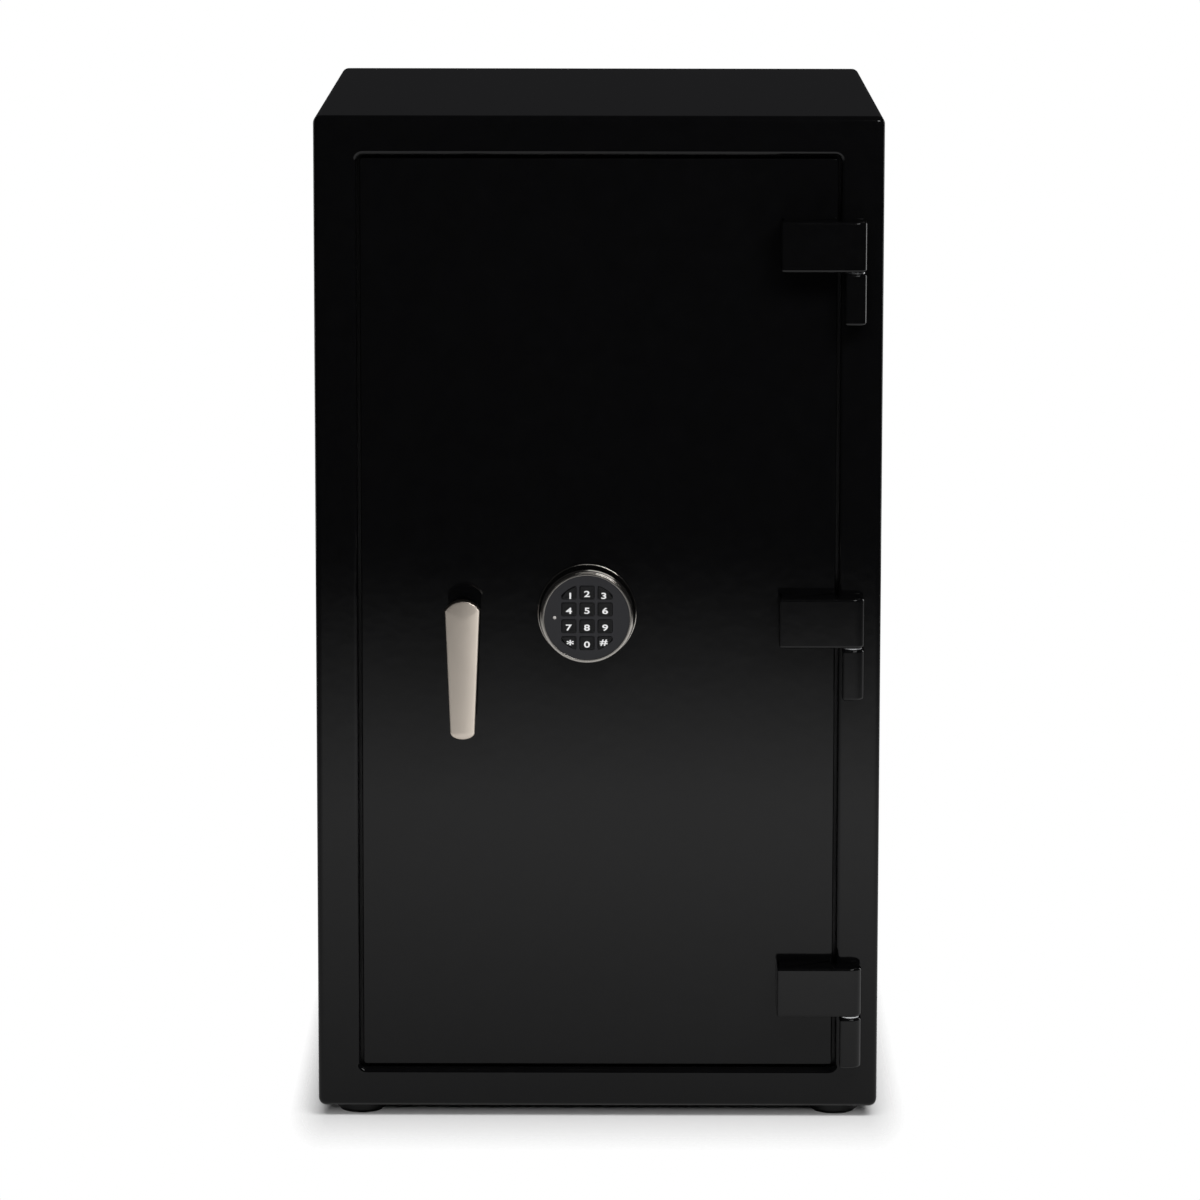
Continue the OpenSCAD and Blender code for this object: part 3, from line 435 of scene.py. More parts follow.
# Slot: effect, shade of the record's colour low and high, roughness low and high, stretch,
# grain scale, patch scale, relief in metres, and what stays the same all over
FINISHES = {
    "body_gloss_black": ("Paint film", (0.12, 0.2), (0.05, 0.1), EVEN, 70, 3, 4e-5,
                         {"Specular IOR Level": 0.22}),
    "frame_black": ("Paint film", (0.1, 0.2), (0.3, 0.42), EVEN, 500, 8, 1e-5,
                    {"Specular IOR Level": 0.3}),
    "hinge_black": ("Paint film", (0.1, 0.18), (0.07, 0.12), EVEN, 90, 10, 3e-5,
                    {"Specular IOR Level": 0.26}),
    "fire_board": ("Moulded grain", (0.85, 1.1), (0.85, 0.95), EVEN, 350, 12, 1.5e-4, {}),
    "lining_fabric": ("Short pile", (0.25, 1.2), (0.9, 1.0), EVEN, 650, 5, 7e-4,
                      {"Sheen Weight": 0.25, "Sheen Roughness": 0.6}),
    "shelf_fabric": ("Short pile", (0.3, 1.1), (0.9, 1.0), EVEN, 650, 5, 6e-4,
                     {"Sheen Weight": 0.25, "Sheen Roughness": 0.6}),
    "pad_foam": ("Moulded grain", (0.6, 1.2), (0.8, 0.95), EVEN, 900, 9, 2e-4, {}),
    "foot_rubber": ("Moulded grain", (0.25, 0.5), (0.6, 0.75), EVEN, 700, 14, 6e-5, {}),
    "bright_steel": ("Brushed grain", (0.85, 1.1), (0.16, 0.3), ALONG_X, 900, 20, 6e-6,
                     {"Metallic": 1}),
    "zinc_steel": ("Moulded grain", (0.75, 1.15), (0.3, 0.45), EVEN, 220, 30, 1e-5,
                   {"Metallic": 1}),
    "plate_steel": ("Brushed grain", (0.8, 1.1), (0.35, 0.5), ALONG_Z, 500, 12, 1e-5,
                    {"Metallic": 1}),
    "seal_strip": ("Moulded grain", (0.7, 1.1), (0.6, 0.8), EVEN, 600, 20, 5e-5, {}),
    "lever_nickel": ("Brushed grain", (0.9, 1.04), (0.26, 0.34), ALONG_Z, 1400, 14, 1.5e-6,
                     {"Metallic": 1}),
    "hub_nickel": ("Brushed grain", (1.2, 1.5), (0.05, 0.1), ALONG_Z, 900, 20, 2e-6,
                   {"Metallic": 1}),
    "keypad_nickel": ("Brushed grain", (0.9, 1.08), (0.08, 0.15), ALONG_X, 1200, 18, 3e-6,
                      {"Metallic": 1}),
    "keypad_plastic": ("Moulded grain", (0.4, 0.65), (0.42, 0.55), EVEN, 1800, 25, 2e-5,
                       {"Specular IOR Level": 0.35}),
    "key_rubber": ("Moulded grain", (0.3, 0.55), (0.4, 0.55), EVEN, 1500, 40, 1.5e-5,
                   {"Specular IOR Level": 0.25}),
    "led_lens": ("Moulded grain", (0.85, 1.05), (0.2, 0.3), EVEN, 900, 90, 1e-5, {}),
    "brass": ("Brushed grain", (0.85, 1.05), (0.2, 0.35), EVEN, 900, 30, 5e-6, {"Metallic": 1}),
    "circuit_board": ("Moulded grain", (0.8, 1.2), (0.35, 0.5), EVEN, 400, 50, 2e-5, {}),
    "battery_case": ("Moulded grain", (0.8, 1.2), (0.3, 0.4), EVEN, 300, 30, 1e-5, {}),
    "lock_casting": ("Moulded grain", (0.75, 1.1), (0.4, 0.55), EVEN, 500, 25, 5e-5,
                     {"Metallic": 1}),
    "cable_black": ("Moulded grain", (0.7, 1.1), (0.45, 0.6), EVEN, 800, 40, 2e-5, {}),
    "key_ink": ("Moulded grain", (0.9, 1.05), (0.5, 0.6), EVEN, 1500, 60, 5e-6, {}),
}


def make_finish(name, colour):
    """Material of a finish: its effect's tone mixes two shades of the colour, its gloss sets
    the roughness and its height the relief."""
    effect, shades, rough, stretch, grain, patch, relief, plain = FINISHES[name]
    material = bpy.data.materials.new(name)
    material.diffuse_color = (*colour, 1)
    nodes, links = tree_of(material)
    shader = nodes["Principled BSDF"]
    place = nodes.new("ShaderNodeTexCoord")
    group = nodes.new("ShaderNodeGroup")
    group.node_tree = bpy.data.node_groups[effect]
    for socket, value in (("Stretch", stretch), ("Grain scale", grain), ("Patch scale", patch)):
        group.inputs[socket].default_value = value
    links.new(place.outputs["Object"], group.inputs["Place"])
    paint = add_node(nodes, links, "Mix", {"Factor": group.outputs["Tone"]}, data_type="RGBA")
    for socket, shade in zip(("A", "B"), shades):
        rgba = [min(1, channel * shade) for channel in colour] + [1]
        next(s for s in paint.inputs if s.name == socket and s.type == "RGBA").default_value = rgba
    links.new(next(s for s in paint.outputs if s.type == "RGBA"), shader.inputs["Base Color"])
    gloss = add_node(nodes, links, "MapRange", {"Value": group.outputs["Gloss"]}, {
        "From Min": 0.25, "From Max": 0.75, "To Min": rough[0], "To Max": rough[1]})
    links.new(gloss.outputs["Result"], shader.inputs["Roughness"])
    bump = add_node(nodes, links, "Bump", {"Height": group.outputs["Height"]},
                    {"Distance": relief})
    links.new(bump.outputs["Normal"], shader.inputs["Normal"])
    for socket, value in plain.items():
        shader.inputs[socket].default_value = value
    return material


# ---------- Sizes and colours ----------


def size(name, description, default):
    """Property that holds a length in metres."""
    return bpy.props.FloatProperty(
        name=name, description=description, default=default, unit="LENGTH", precision=4
    )


def lengths(**rows):
    """Length properties, each from its description and its default in millimetres."""
    return {name: size(name.replace("_", " ").capitalize(), description, default * MM)
            for name, (description, default) in rows.items()}


def number(name, description, default):
    """Property that holds a plain number."""
    return bpy.props.FloatProperty(name=name, description=description, default=default)


def angle(name, description, degrees):
    """Property that holds an angle, its default given in degrees."""
    return bpy.props.FloatProperty(
        name=name, description=description, default=math.radians(degrees), subtype="ANGLE"
    )


def colour(name, description, default):
    """Property that holds a colour."""
    return bpy.props.FloatVectorProperty(
        name=name, description=description, default=default, subtype="COLOR", min=0, max=1
    )


class SafeColours(bpy.types.PropertyGroup):
    """Base colour of each finish"""

    __annotations__ = {
        entry["slot"]: colour(entry["slot"].replace("_", " ").capitalize(), entry["finish"],
                              entry["base_color"][:3])
        for entry in frame["record"]["materials"]
    }
    __annotations__["key_ink"] = colour("Key ink", "Printed figures on the keys", (0.8, 0.8, 0.8))


class SafeBodySizes(bpy.types.PropertyGroup):
    """Sizes of the body, the door plate, the hinges and the feet"""

    __annotations__ = lengths(
        edge_round=("Radius of the body's outer edges", 6),
        opening_corner=("Corner radius of the door opening", 6),
        opening_round=("Radius of the opening's front edge", 4),
        door_gap=("Gap between the door plate and the opening", 3),
        door_round=("Radius of the door plate's front edges", 1.2),
        hinge_height=("Height of one hinge strap", 45),
        knuckle_height=("Height of one hinge knuckle", 46),
        barrel=("Diameter of a hinge's barrel", 21),
        strap_step=("How far inside the door's edge a strap starts", 1),
        knuckle_flank=("Knuckle's reach inwards from the hinge axis", 9),
        hinge_bevel=("Radius of the hinges' edges", 2.4),
        washer_inset=("How far a washer's rim sits inside the barrel", 1.5),
        foot_bevel=("Slope at the bottom of a foot", 3),
        foot=("Diameter of a foot", 44),
    )


class SafeKeypadSizes(bpy.types.PropertyGroup):
    """Sizes of the keypad, its keys, the lever and its hub"""

    __annotations__ = lengths(
        plate=("Thickness of the keypad's base plate", 4),
        plate_round=("Radius of the base plate's edge", 0.6),
        base_edge=("How far the housing stands in from the plate", 0.5),
        band_edge=("Size of the step at the foot of the band", 0.8),
        band=("Diameter of the housing's band", 82.6),
        bezel=("Diameter of the bright bezel", 80.6),
        bore=("Diameter of the bore that the face sits in", 76.7),
        ledge=("Diameter inside the ledge behind the face", 70),
        ledge_depth=("Thickness of the ledge", 2),
        band_round=("Radius of the band's front edge", 0.7),
        bezel_foot_round=("Radius at the bezel's foot and bore", 0.25),
        band_height=("Height of the band", 5),
        bezel_height=("Height of the bezel", 3),
        key_width=("Width of a key", 13),
        key_height=("Height of a key", 12),
        key_corner=("Corner radius of a key", 1.5),
        key_step_x=("Distance between the keys' columns", 16.2),
        key_step_z=("Distance between the keys' rows", 15.3),
        key_trim=("Radius that trims the corner keys", 30.5),
        key_flange=("Width of the flange behind a key", 0.8),
        flange_depth=("Thickness of a key's flange", 1.2),
        figure=("Height of a key's figure", 5.6),
        figure_drop=("How far a figure sits below its key's middle", 1.2),
        lever_top=("Radius of the lever's round top", 18.5),
        lever_width=("Width of the lever at its top", 31),
        lever_end=("Width of the lever at its end", 22),
        lever_tip=("Height of the lever's rounded tip", 6.5),
        lever_edge=("Radius of the lever's front edge", 1.2),
        lever_crown=("Rise of the lever's front along its middle", 0.5),
        hub_taper=("How much the hub narrows towards the lever", 3.6),
        hub_edge=("Radius of the hub's edges", 0.8),
    )


class SafeInsideSizes(bpy.types.PropertyGroup):
    """Sizes of the lining, the shelves, the bolts and the cover"""

    __annotations__ = lengths(
        lining_round=("Radius of the lining's inner corners", 7),
        wrap_round=("Radius of a wrapped shelf's edges", 2.5),
        notch=("Width of a notch in the barrel rest", 30),
        pad_crown=("Rise of the stock pad's top along its middle", 1.5),
        pad_corner=("Corner radius of the stock pad in plan", 5),
        pad_round=("Radius of the stock pad's edges", 6),
        bolt_nose=("Slope at a bolt's end", 2),
        bolt_round=("Radius of the edges of a bolt's nose", 0.6),
        bolt=("Diameter of a bolt", 20),
        cover_round=("Radius of the cover's edge", 1.4),
        cover_corner=("Corner radius of the cover", 4),
        groove_inset=("From the cover's edge to its pressed line", 28),
        groove_depth=("Depth of the cover's pressed line", 1),
        screw_head=("Diameter of a cover screw's head", 8),
        head_height=("Height of a cover screw's head", 2),
        head_round=("Radius of a cover screw's head", 0.9),
        socket_depth=("Depth of a cover screw's socket", 1.1),
    )


class SafeStageSizes(bpy.types.PropertyGroup):
    """Camera, floor and lights"""

    camera_distance: size("Camera distance", "From the frame's middle to the camera", 5.31)
    camera_height: size("Camera height", "Height of the camera above the floor", 1.341)
    camera_side: size("Camera side", "How far right of the middle the camera stands", 0.012)
    camera_pitch: angle("Camera pitch", "How far the camera looks down", 8.582)
    camera_yaw: angle("Camera yaw", "How far the camera turns to the left", 0.12)
    camera_roll: angle("Camera roll", "How far the camera leans", 0.083)
    sensor: number("Sensor", "Width of the camera's frame in millimetres", 36)
    lens: number("Lens", "Focal length in millimetres", 171.2)
    lift: number("Lift", "Upward shift of the lens", -0.0915)
    floor_full: size("Floor radius", "Distance to which the floor is solid", 1.7)
    floor_gone: size("Floor end", "Distance at which the floor has faded away", 3.4)
    shade_start: size("Shade start", "How far under the body the shade starts to fade", 0.04)
    shade_width: size("Shade width", "Distance over which the shade fades", 0.15)
    light_strength: number("Light strength", "Strength of every softbox", 1)


# ---------- One operator for each piece or group of like pieces ----------


class SafeOperator:
    """What every build step shares"""

    bl_options = {"REGISTER", "UNDO"}

    def execute(self, context):
        scene = context.scene
        self.build(scene)
        return {"FINISHED"}


class SAFE_OT_finishes(SafeOperator, bpy.types.Operator):
    """Makes every finish and puts the right one on each CAD node"""

    bl_idname = "safe.finishes"
    bl_label = "Finishes"

    def build(self, scene):
        for name, build in EFFECTS.items():
            new_effect(name, build)
        carried = {}
        for node in frame["nodes"].values():
            carried[node.name] = node.data.materials[0].name
        for material in list(bpy.data.materials):
            material.name = "packed_" + material.name
        for name in FINISHES:
            make_finish(name, getattr(scene.safe_colours, name))
        for name, slot in carried.items():
            frame["nodes"][name].data.materials[0] = bpy.data.materials[slot]


class SAFE_OT_body(SafeOperator, bpy.types.Operator):
    """Steel body: one skin that runs round the outer edges, through the opening and back inside"""

    bl_idname = "safe.body"
    bl_label = "Body"

    def build(self, scene):
        sizes = scene.safe_body
        low, high = span("outer_shell")
        sheet = span("board_left")[0][0] - low[0]
        front_sheet = span("jamb_sides")[0][1] - low[1]
        centre = (low + high) / 2
        half = ((high - low) / 2)[[0, 2]]
        gap = opening()[1][[0, 2]]
        edge, lip = bead(sizes.edge_round), bead(sizes.opening_round)
        corner = sizes.edge_round + 1 * MM
        front, back = low[1] - centre[1], high[1] - centre[1]
        halves = np.concatenate([
            half - edge[:, :1], half - edge[::-1, :1], gap + lip[:, :1],
            [gap, half - sheet, half - sheet],
        ])
        corners = np.concatenate([
            corner - edge[:, 0], corner - edge[::-1, 0], sizes.opening_corner + lip[:, 0],
            [sizes.opening_corner, sheet, sheet],
        ])
        depths = np.concatenate([
            back - edge[:, 1], front + edge[::-1, 1], front + lip[:, 1],
            [front + front_sheet, front + front_sheet, back - sheet],
        ])
        mesh = mesh_of("body_shell", [rectangle_skin(centre, halves, corners, depths)])
        mesh = drilled(mesh, anchor_drills(low[2]))
        add_piece("body_shell", mesh, "body_gloss_black", "cabinet", ["outer_shell"])


def anchor_drills(level):
    """Round drills for the floor anchors, standing across a level."""
    mount = next(m for m in frame["record"]["mounts"] if m["name"] == "floor_anchors")
    x, y, _ = mount["pos_m"]
    pattern = mount["dims"]
    step_x, step_y = pattern["spacing_x_mm"] * MM / 2, pattern["spacing_y_mm"] * MM / 2
    r = pattern["hole_r_mm"] * MM
    places = [(x + s * step_x, y + t * step_y, level) for s in (-1, 1) for t in (-1, 1)]
    drill = turned([(r, reach) for reach in ANCHOR_DRILL], (0, 0, 0), "z", DRILL_SIDES)
    return moved(drill, *places)


class SAFE_OT_door_panel(SafeOperator, bpy.types.Operator):
    """Door plate with softened front edges, drilled for the spindle and the cable"""

    bl_idname = "safe.door_panel"
    bl_label = "Door panel"

    def build(self, scene):
        sizes = scene.safe_body
        low, high = span("door_plate")
        corner = sizes.opening_corner - sizes.door_gap
        plate = moulded_block(low, high, corner, sizes.door_round, "y", SOFT_ROUND)
        drills = []
        for node in ("spindle_bush", "lock_cable"):
            start, stop = span(node)
            radius, place = (stop[0] - start[0]) / 2, (start + stop) / 2
            place[1] = low[1]
            drills.append(turned_bar(radius, -DRILL_REACH, DRILL_REACH, DRILL_ROUND, DRILL_ROUND,
                                     place, "y", DRILL_SIDES))
        mesh = drilled(mesh_of("door_panel", [plate]), drills)
        add_piece("door_panel", mesh, "body_gloss_black", "door", ["door_plate"])


class SAFE_OT_hinges(SafeOperator, bpy.types.Operator):
    """Hinge straps, knuckles and washers: outlines in plan, drawn upwards with round edges"""

    bl_idname = "safe.hinges"
    bl_label = "Hinges"

    def build(self, scene):
        sizes = scene.safe_body
        axis = np.array(joint("door_swing")["pos_m"])
        strap_low, strap_high = span("hinge_straps")
        r = sizes.barrel / 2
        face = span("door_plate")[0][1] - axis[1]
        lap = axis[0] - span("door_plate")[1][0] + sizes.strap_step
        left = strap_low[0] - axis[0]
        rise = (strap_high[2] - strap_low[2] - sizes.hinge_height) / (HINGE_COUNT - 1)
        bevel = sizes.hinge_bevel

        def set_out(name, surface, level, finish, body, node):
            places = [(axis[0], axis[1], level + i * rise) for i in range(HINGE_COUNT)]
            add_surfaces(name, moved(surface, *places), finish, body, [node])

        barrel = arc((0, 0), r, -90, 90, 24)
        outline = rounded([(-lap, face), (left, face), (left, -r), *barrel, (-lap, r)],
                          [SMALL_ROUND, SMALL_ROUND, bevel, *[0] * len(barrel), SMALL_ROUND])
        strap = outline_skin(outline, slab_profile(0, sizes.hinge_height, bevel, bevel),
                             (0, 0, 0), "z")
        set_out("hinge_straps_visual", strap, strap_low[2], "hinge_black", "door", "hinge_straps")
        low, high = span("hinge_knuckles")
        out, flank = high[1] - axis[1], -sizes.knuckle_flank
        barrel = arc((0, 0), r, -90, 0, 12)
        outline = rounded([(r, out), (flank, out), (flank, -r), *barrel],
                          [TINY_ROUND, TINY_ROUND, bevel, *[0] * len(barrel)])
        knuckle = outline_skin(outline, slab_profile(0, sizes.knuckle_height, bevel, bevel),
                               (0, 0, 0), "z")
        set_out("hinge_knuckles_visual", knuckle, low[2], "hinge_black", "cabinet",
                "hinge_knuckles")
        low, high = span("hinge_washers")
        thick = high[2] - low[2] - (HINGE_COUNT - 1) * rise
        outer = (high[0] - low[0]) / 2 - sizes.washer_inset
        inner = span("hinge_pins")[1][0] - axis[0]
        slope = TINY_ROUND
        washer = turned([(outer, slope), (outer, thick - slope), (outer - slope, thick),
                         (inner, thick), (inner, 0), (outer - slope, 0)],
                        (0, 0, 0), "z", endless=True)
        set_out("hinge_washer_rings", washer, low[2], "bright_steel", "cabinet", "hinge_washers")


class SAFE_OT_feet(SafeOperator, bpy.types.Operator):
    """Four turned rubber feet"""

    bl_idname = "safe.feet"
    bl_label = "Feet"

    def build(self, scene):
        sizes = scene.safe_body
        low, high = span("feet")
        r, slope, tall = sizes.foot / 2, sizes.foot_bevel, high[2] - low[2]
        core = r * FOOT_CORE
        profile = rounded([(core, 0), (r - slope, 0), (r, slope), (r, tall), (core, tall)],
                          [0, WIDE_ROUND, WIDE_ROUND, SOFT_ROUND, 0])
        places = [(x, y, low[2]) for x in (low[0] + r, high[0] - r)
                  for y in (low[1] + r, high[1] - r)]
        foot = turned(profile, (0, 0, 0), "z")
        add_surfaces("rubber_feet", moved(foot, *places), "foot_rubber", "cabinet", ["feet"])


class SAFE_OT_keypad(SafeOperator, bpy.types.Operator):
    """Keypad: turned base plate, housing with its band and bezel, and the lamp's lens"""

    bl_idname = "safe.keypad"
    bl_label = "Keypad"

    def build(self, scene):
        sizes = scene.safe_keypad
        low, high = span("keypad_base")
        housing_low, _ = span("keypad_housing")
        centre = (low + high) / 2
        centre[1] = high[1]
        r, tall = (high[0] - low[0]) / 2, high[1] - housing_low[1]
        plate = sizes.plate
        base = turned_bar(r, -plate, 0, sizes.plate_round, SMALL_ROUND, centre, "y", KEYPAD_SIDES)
        add_surfaces("keypad_base_plate", [base], "keypad_nickel", "door", ["keypad_base"])
        band, bezel = sizes.band / 2, sizes.bezel / 2
        bore, ledge = sizes.bore / 2, sizes.ledge / 2
        bezel_start = tall - sizes.bezel_height
        band_start = bezel_start - sizes.band_height
        face_low, face_high = span("keypad_face")
        seat = high[1] - face_high[1]
        step, under = sizes.band_edge, seat - sizes.ledge_depth
        outline = rounded(
            [(r - sizes.base_edge, plate), (band + step, band_start - step), (band, band_start),
             (band, bezel_start), (bezel, bezel_start), (bezel, tall), (bore, tall),
             (bore, seat), (ledge, seat), (ledge, under), (bore, under), (bore, plate)],
            [SMALL_ROUND, SMALL_ROUND, TINY_ROUND, sizes.band_round, sizes.bezel_foot_round,
             SOFT_ROUND, sizes.bezel_foot_round, 0, TINY_ROUND, TINY_ROUND, 0, 0],
        )
        outline[:, 1] *= -1
        housing = turned(outline, centre, "y", KEYPAD_SIDES, endless=True)
        add_surfaces("keypad_shell", [housing], "keypad_nickel", "door", ["keypad_housing"])
        low, high = span("keypad_led")
        lamp_r, deep = (high[0] - low[0]) / 2, high[1] - low[1]
        spot = (low + high) / 2
        spot[1] = high[1]
        a = np.radians(np.linspace(0, 80, 8))
        dome = WIDE_ROUND
        profile = np.concatenate([
            [(lamp_r * CORE, 0), (lamp_r, 0)],
            np.stack([lamp_r * np.cos(a), -(deep - dome) - dome * np.sin(a)], -1),
        ])
        add_surfaces("keypad_lamp", [turned(profile, spot, "y", 32)], "led_lens", "door",
                     ["keypad_led"])


def key_places(sizes):
    """Sideways and upward place of each key from the keypad's middle, and the middle itself."""
    low, high = span("keypad_base")
    order = np.arange(len(KEYS))
    u = (order % KEY_COLUMNS - 1) * sizes.key_step_x
    v = (1.5 - order // KEY_COLUMNS) * sizes.key_step_z
    return np.stack([u, v], -1), ((low + high) / 2)[[0, 2]]


def key_cap(sizes, place, front, back):
    """Key from its flange to its dished front. Each ring is a round-cornered rectangle, and
    what lies outside the trim circle is drawn in onto it: p min(1, trim / |p|)."""
    flange = back - sizes.flange_depth
    edge = bead(WIDE_ROUND, 4)[::-1]
    profile = np.concatenate([
        [(-sizes.key_flange, back), (-sizes.key_flange, flange), (0, flange)],
        np.stack([edge[:, 0], front + edge[:, 1]], -1),
        [(inset, front + sunk) for inset, sunk in KEY_DISH],
    ])
    half = np.array([sizes.key_width, sizes.key_height]) / 2
    points, blocks = rectangle_skin(
        (0, 0, 0), half - profile[:, :1], sizes.key_corner - profile[:, 0], profile[:, 1]
    )
    flat = points[:, [0, 2]] + place
    trim = sizes.key_trim - np.repeat(profile[:, 0], len(points) // len(profile))
    flat = flat * np.minimum(1, trim / np.maximum(np.linalg.norm(flat, axis=1), 1e-9))[:, None]
    return np.stack([flat[:, 0], points[:, 1], flat[:, 1]], -1), blocks


def key_figure(name, text, height, place):
    """Mesh of one printed figure, a thin raised print centred on a place of the key's front."""
    curve = bpy.data.curves.new(name, "FONT")
    curve.body, curve.size = text, height * FONT_SIZE * (STAR_SIZE if text == "*" else 1)
    curve.extrude, curve.offset = FIGURE_RAISE, FIGURE_BOLD * height
    source = bpy.data.objects.new(name, curve)
    bpy.context.scene.collection.objects.link(source)
    depsgraph = bpy.context.evaluated_depsgraph_get()
    mesh = bpy.data.meshes.new_from_object(source.evaluated_get(depsgraph))
    bpy.data.objects.remove(source)
    points = np.empty(len(mesh.vertices) * 3)
    mesh.vertices.foreach_get("co", points)
    points = points.reshape(-1, 3)
    centre = (points.min(0) + points.max(0)) / 2
    mesh.transform(Matrix.Translation(place) @ Matrix.Rotation(math.radians(90), 4, "X")
                   @ Matrix.Diagonal((FIGURE_STRETCH, 1, 1, 1)) @ Matrix.Translation(-centre))
    return mesh


class SAFE_OT_keys(SafeOperator, bpy.types.Operator):
    """Twelve keys with their printed figures"""

    bl_idname = "safe.keys"
    bl_label = "Keys"

    def build(self, scene):
        sizes = scene.safe_keypad
        places, middle = key_places(sizes)
        for key, place in zip(KEYS, places):
            low, high = span(key)
            points, blocks = key_cap(sizes, place, low[1], high[1])
            points = points + (middle[0], 0, middle[1])
            add_surfaces(key + "_cap", [(points, blocks)], "key_rubber", key, [key])
            shift = place * min(1, (sizes.key_trim - FIGURE_ROOM) / np.linalg.norm(place))
            mark = key_figure(
                key + "_figure", KEY_MARKS.get(key, key[-1]), sizes.figure,
                Vector((middle[0] + shift[0], low[1] + FIGURE_SINK,
                        middle[1] + shift[1] - sizes.figure_drop)),
            )
            add_piece(key + "_figure", mark, "key_ink", key, even=False)


def crowned_plate(outline, spine, deep, edge, crown):
    """Plate whose front rises from its rounded edge to a line along its middle.

    Each outline point is drawn towards the nearest point of the spine, an upright stretch of
    the middle line: first by the edge's inset, then by a share s of what is left, where the
    front's depth is crown (1 - s)^2."""
    middle = np.stack([np.zeros(len(outline)), np.clip(outline[:, 1], *spine)], -1)
    reach = outline - middle
    length = np.linalg.norm(reach, axis=1, keepdims=True)
    way = reach / length
    back, front = bead(WIDE_ROUND, 4), bead(edge, 5)[::-1]
    rings = [(inset, deep - depth, 0) for inset, depth in back]
    rings += [(inset, crown + depth, 0) for inset, depth in front]
    rings += [(edge, crown * (1 - s) ** 2, s) for s in np.linspace(0, CROWN_REACH, 9)[1:]]
    insets, depths, shares = np.array(rings).T[:, :, None, None]
    flat = middle + way * (length - insets) * (1 - shares)
    return skin(stand(flat[..., 0], flat[..., 1], depths[..., 0], "y"))


class SAFE_OT_handle(SafeOperator, bpy.types.Operator):
    """Lever with a crowned front, and the turned hub behind it"""

    bl_idname = "safe.handle"
    bl_label = "Handle"

    def build(self, scene):
        sizes = scene.safe_keypad
        axis = np.array(joint("handle_turn")["pos_m"])
        low, high = span("lever")
        reach = axis[2] - low[2]
        top, wide, end = sizes.lever_top, sizes.lever_width / 2, sizes.lever_end / 2
        tip = sizes.lever_tip
        start = math.degrees(math.acos(wide / top))
        outline = np.concatenate([
            arc((0, 0), top, start, 180 - start, 24),
            arc((0, 0), 1, 180, 360, 24) * (end, tip) - (0, reach - tip),
        ])
        lever = crowned_plate(outline, (tip - reach, 0), high[1] - low[1], sizes.lever_edge,
                              sizes.lever_crown)
        lever = moved(lever, (axis[0], low[1], axis[2]))
        add_surfaces("lever_handle", lever, "lever_nickel", "handle", ["lever"])
        low, high = span("handle_hub")
        r, deep = (high[0] - low[0]) / 2, high[1] - low[1]
        profile = rounded(
            [(r * CORE, 0), (r - sizes.hub_taper, 0), (r, deep), (r * CORE, deep)],
            [0, sizes.hub_edge, SMALL_ROUND, 0],
        )
        hub = turned(profile, (axis[0], low[1], axis[2]), "y")
        add_surfaces("handle_collar", [hub], "hub_nickel", "handle", ["handle_hub"])


class SAFE_OT_bolts(SafeOperator, bpy.types.Operator):
    """Turned side bolts and the hinge side's fixed bolts"""

    bl_idname = "safe.bolts"
    bl_label = "Bolts"

    def build(self, scene):
        sizes = scene.safe_inside
        r, nose = sizes.bolt / 2, sizes.bolt_nose
        for node, name, body, outward in (("side_bolts", "locking_bolts", "side_boltwork", -1),
                                          ("dead_bolts", "fixed_bolts", "door", 1)):
            low, high = span(node)
            long = high[0] - low[0]
            profile = rounded([(r * CORE, 0), (r, 0), (r, long - nose), (r - nose, long),
                               (r * CORE, long)], [0, 0, sizes.bolt_round, sizes.bolt_round, 0])
            profile[:, 1] *= outward
            bolt = turned(profile, (0, 0, 0), "x")
            foot = high[0] if outward < 0 else low[0]
            heights = np.linspace(low[2] + r, high[2] - r, BOLTS_A_SIDE)
            places = [(foot, (low[1] + high[1]) / 2, z) for z in heights]
            add_surfaces(name, moved(bolt, *places), "bright_steel", body, [node])


class SAFE_OT_cover(SafeOperator, bpy.types.Operator):
    """Carpeted panel over the boltwork, with a pressed line, and its screws"""

    bl_idname = "safe.cover"
    bl_label = "Door cover"

    def build(self, scene):
        sizes = scene.safe_inside
        low, high = span("door_cover")
        centre, half = (low + high) / 2, (high - low) / 2
        inset, deep = sizes.groove_inset, sizes.groove_depth
        edge = bead(sizes.cover_round)[::-1]
        profile = np.concatenate([
            [(0, -half[1])],
            np.stack([edge[:, 0], half[1] - edge[:, 1]], -1),
            [(inset, half[1]), (inset + deep, half[1] - deep), (inset + 3 * deep, half[1] - deep),
             (inset + 4 * deep, half[1])],
        ])
        cover = rectangle_skin(centre, half[[0, 2]] - profile[:, :1],
                               sizes.cover_corner - CORNER_SHRINK * profile[:, 0], profile[:, 1])
        add_surfaces("cover_panel", [cover], "lining_fabric", "door", ["door_cover"])
        low, high = span("cover_screws")
        head_r = sizes.screw_head / 2
        back = high[1]
        socket, sink, head = head_r * SOCKET, sizes.socket_depth, -sizes.head_height
        profile = rounded(
            [(head_r * SOCKET_CORE, low[1] - back), (head_r * CORE, low[1] - back),
             (head_r * CORE, head), (head_r, head), (head_r, 0), (socket, 0), (socket, -sink),
             (socket * SOCKET_CORE, -sink)],
            [0, 0, 0, TINY_ROUND, sizes.head_round, TINY_ROUND, 0, 0],
        )
        screw = turned(profile, (0, back, 0), "y", 36)
        places = [(x, 0, z) for x in (low[0] + head_r, high[0] - head_r)
                  for z in np.linspace(low[2] + head_r, high[2] - head_r, SCREW_ROWS)]
        add_surfaces("cover_screw_set", moved(screw, *places), "bright_steel", "door",
                     ["cover_screws"])


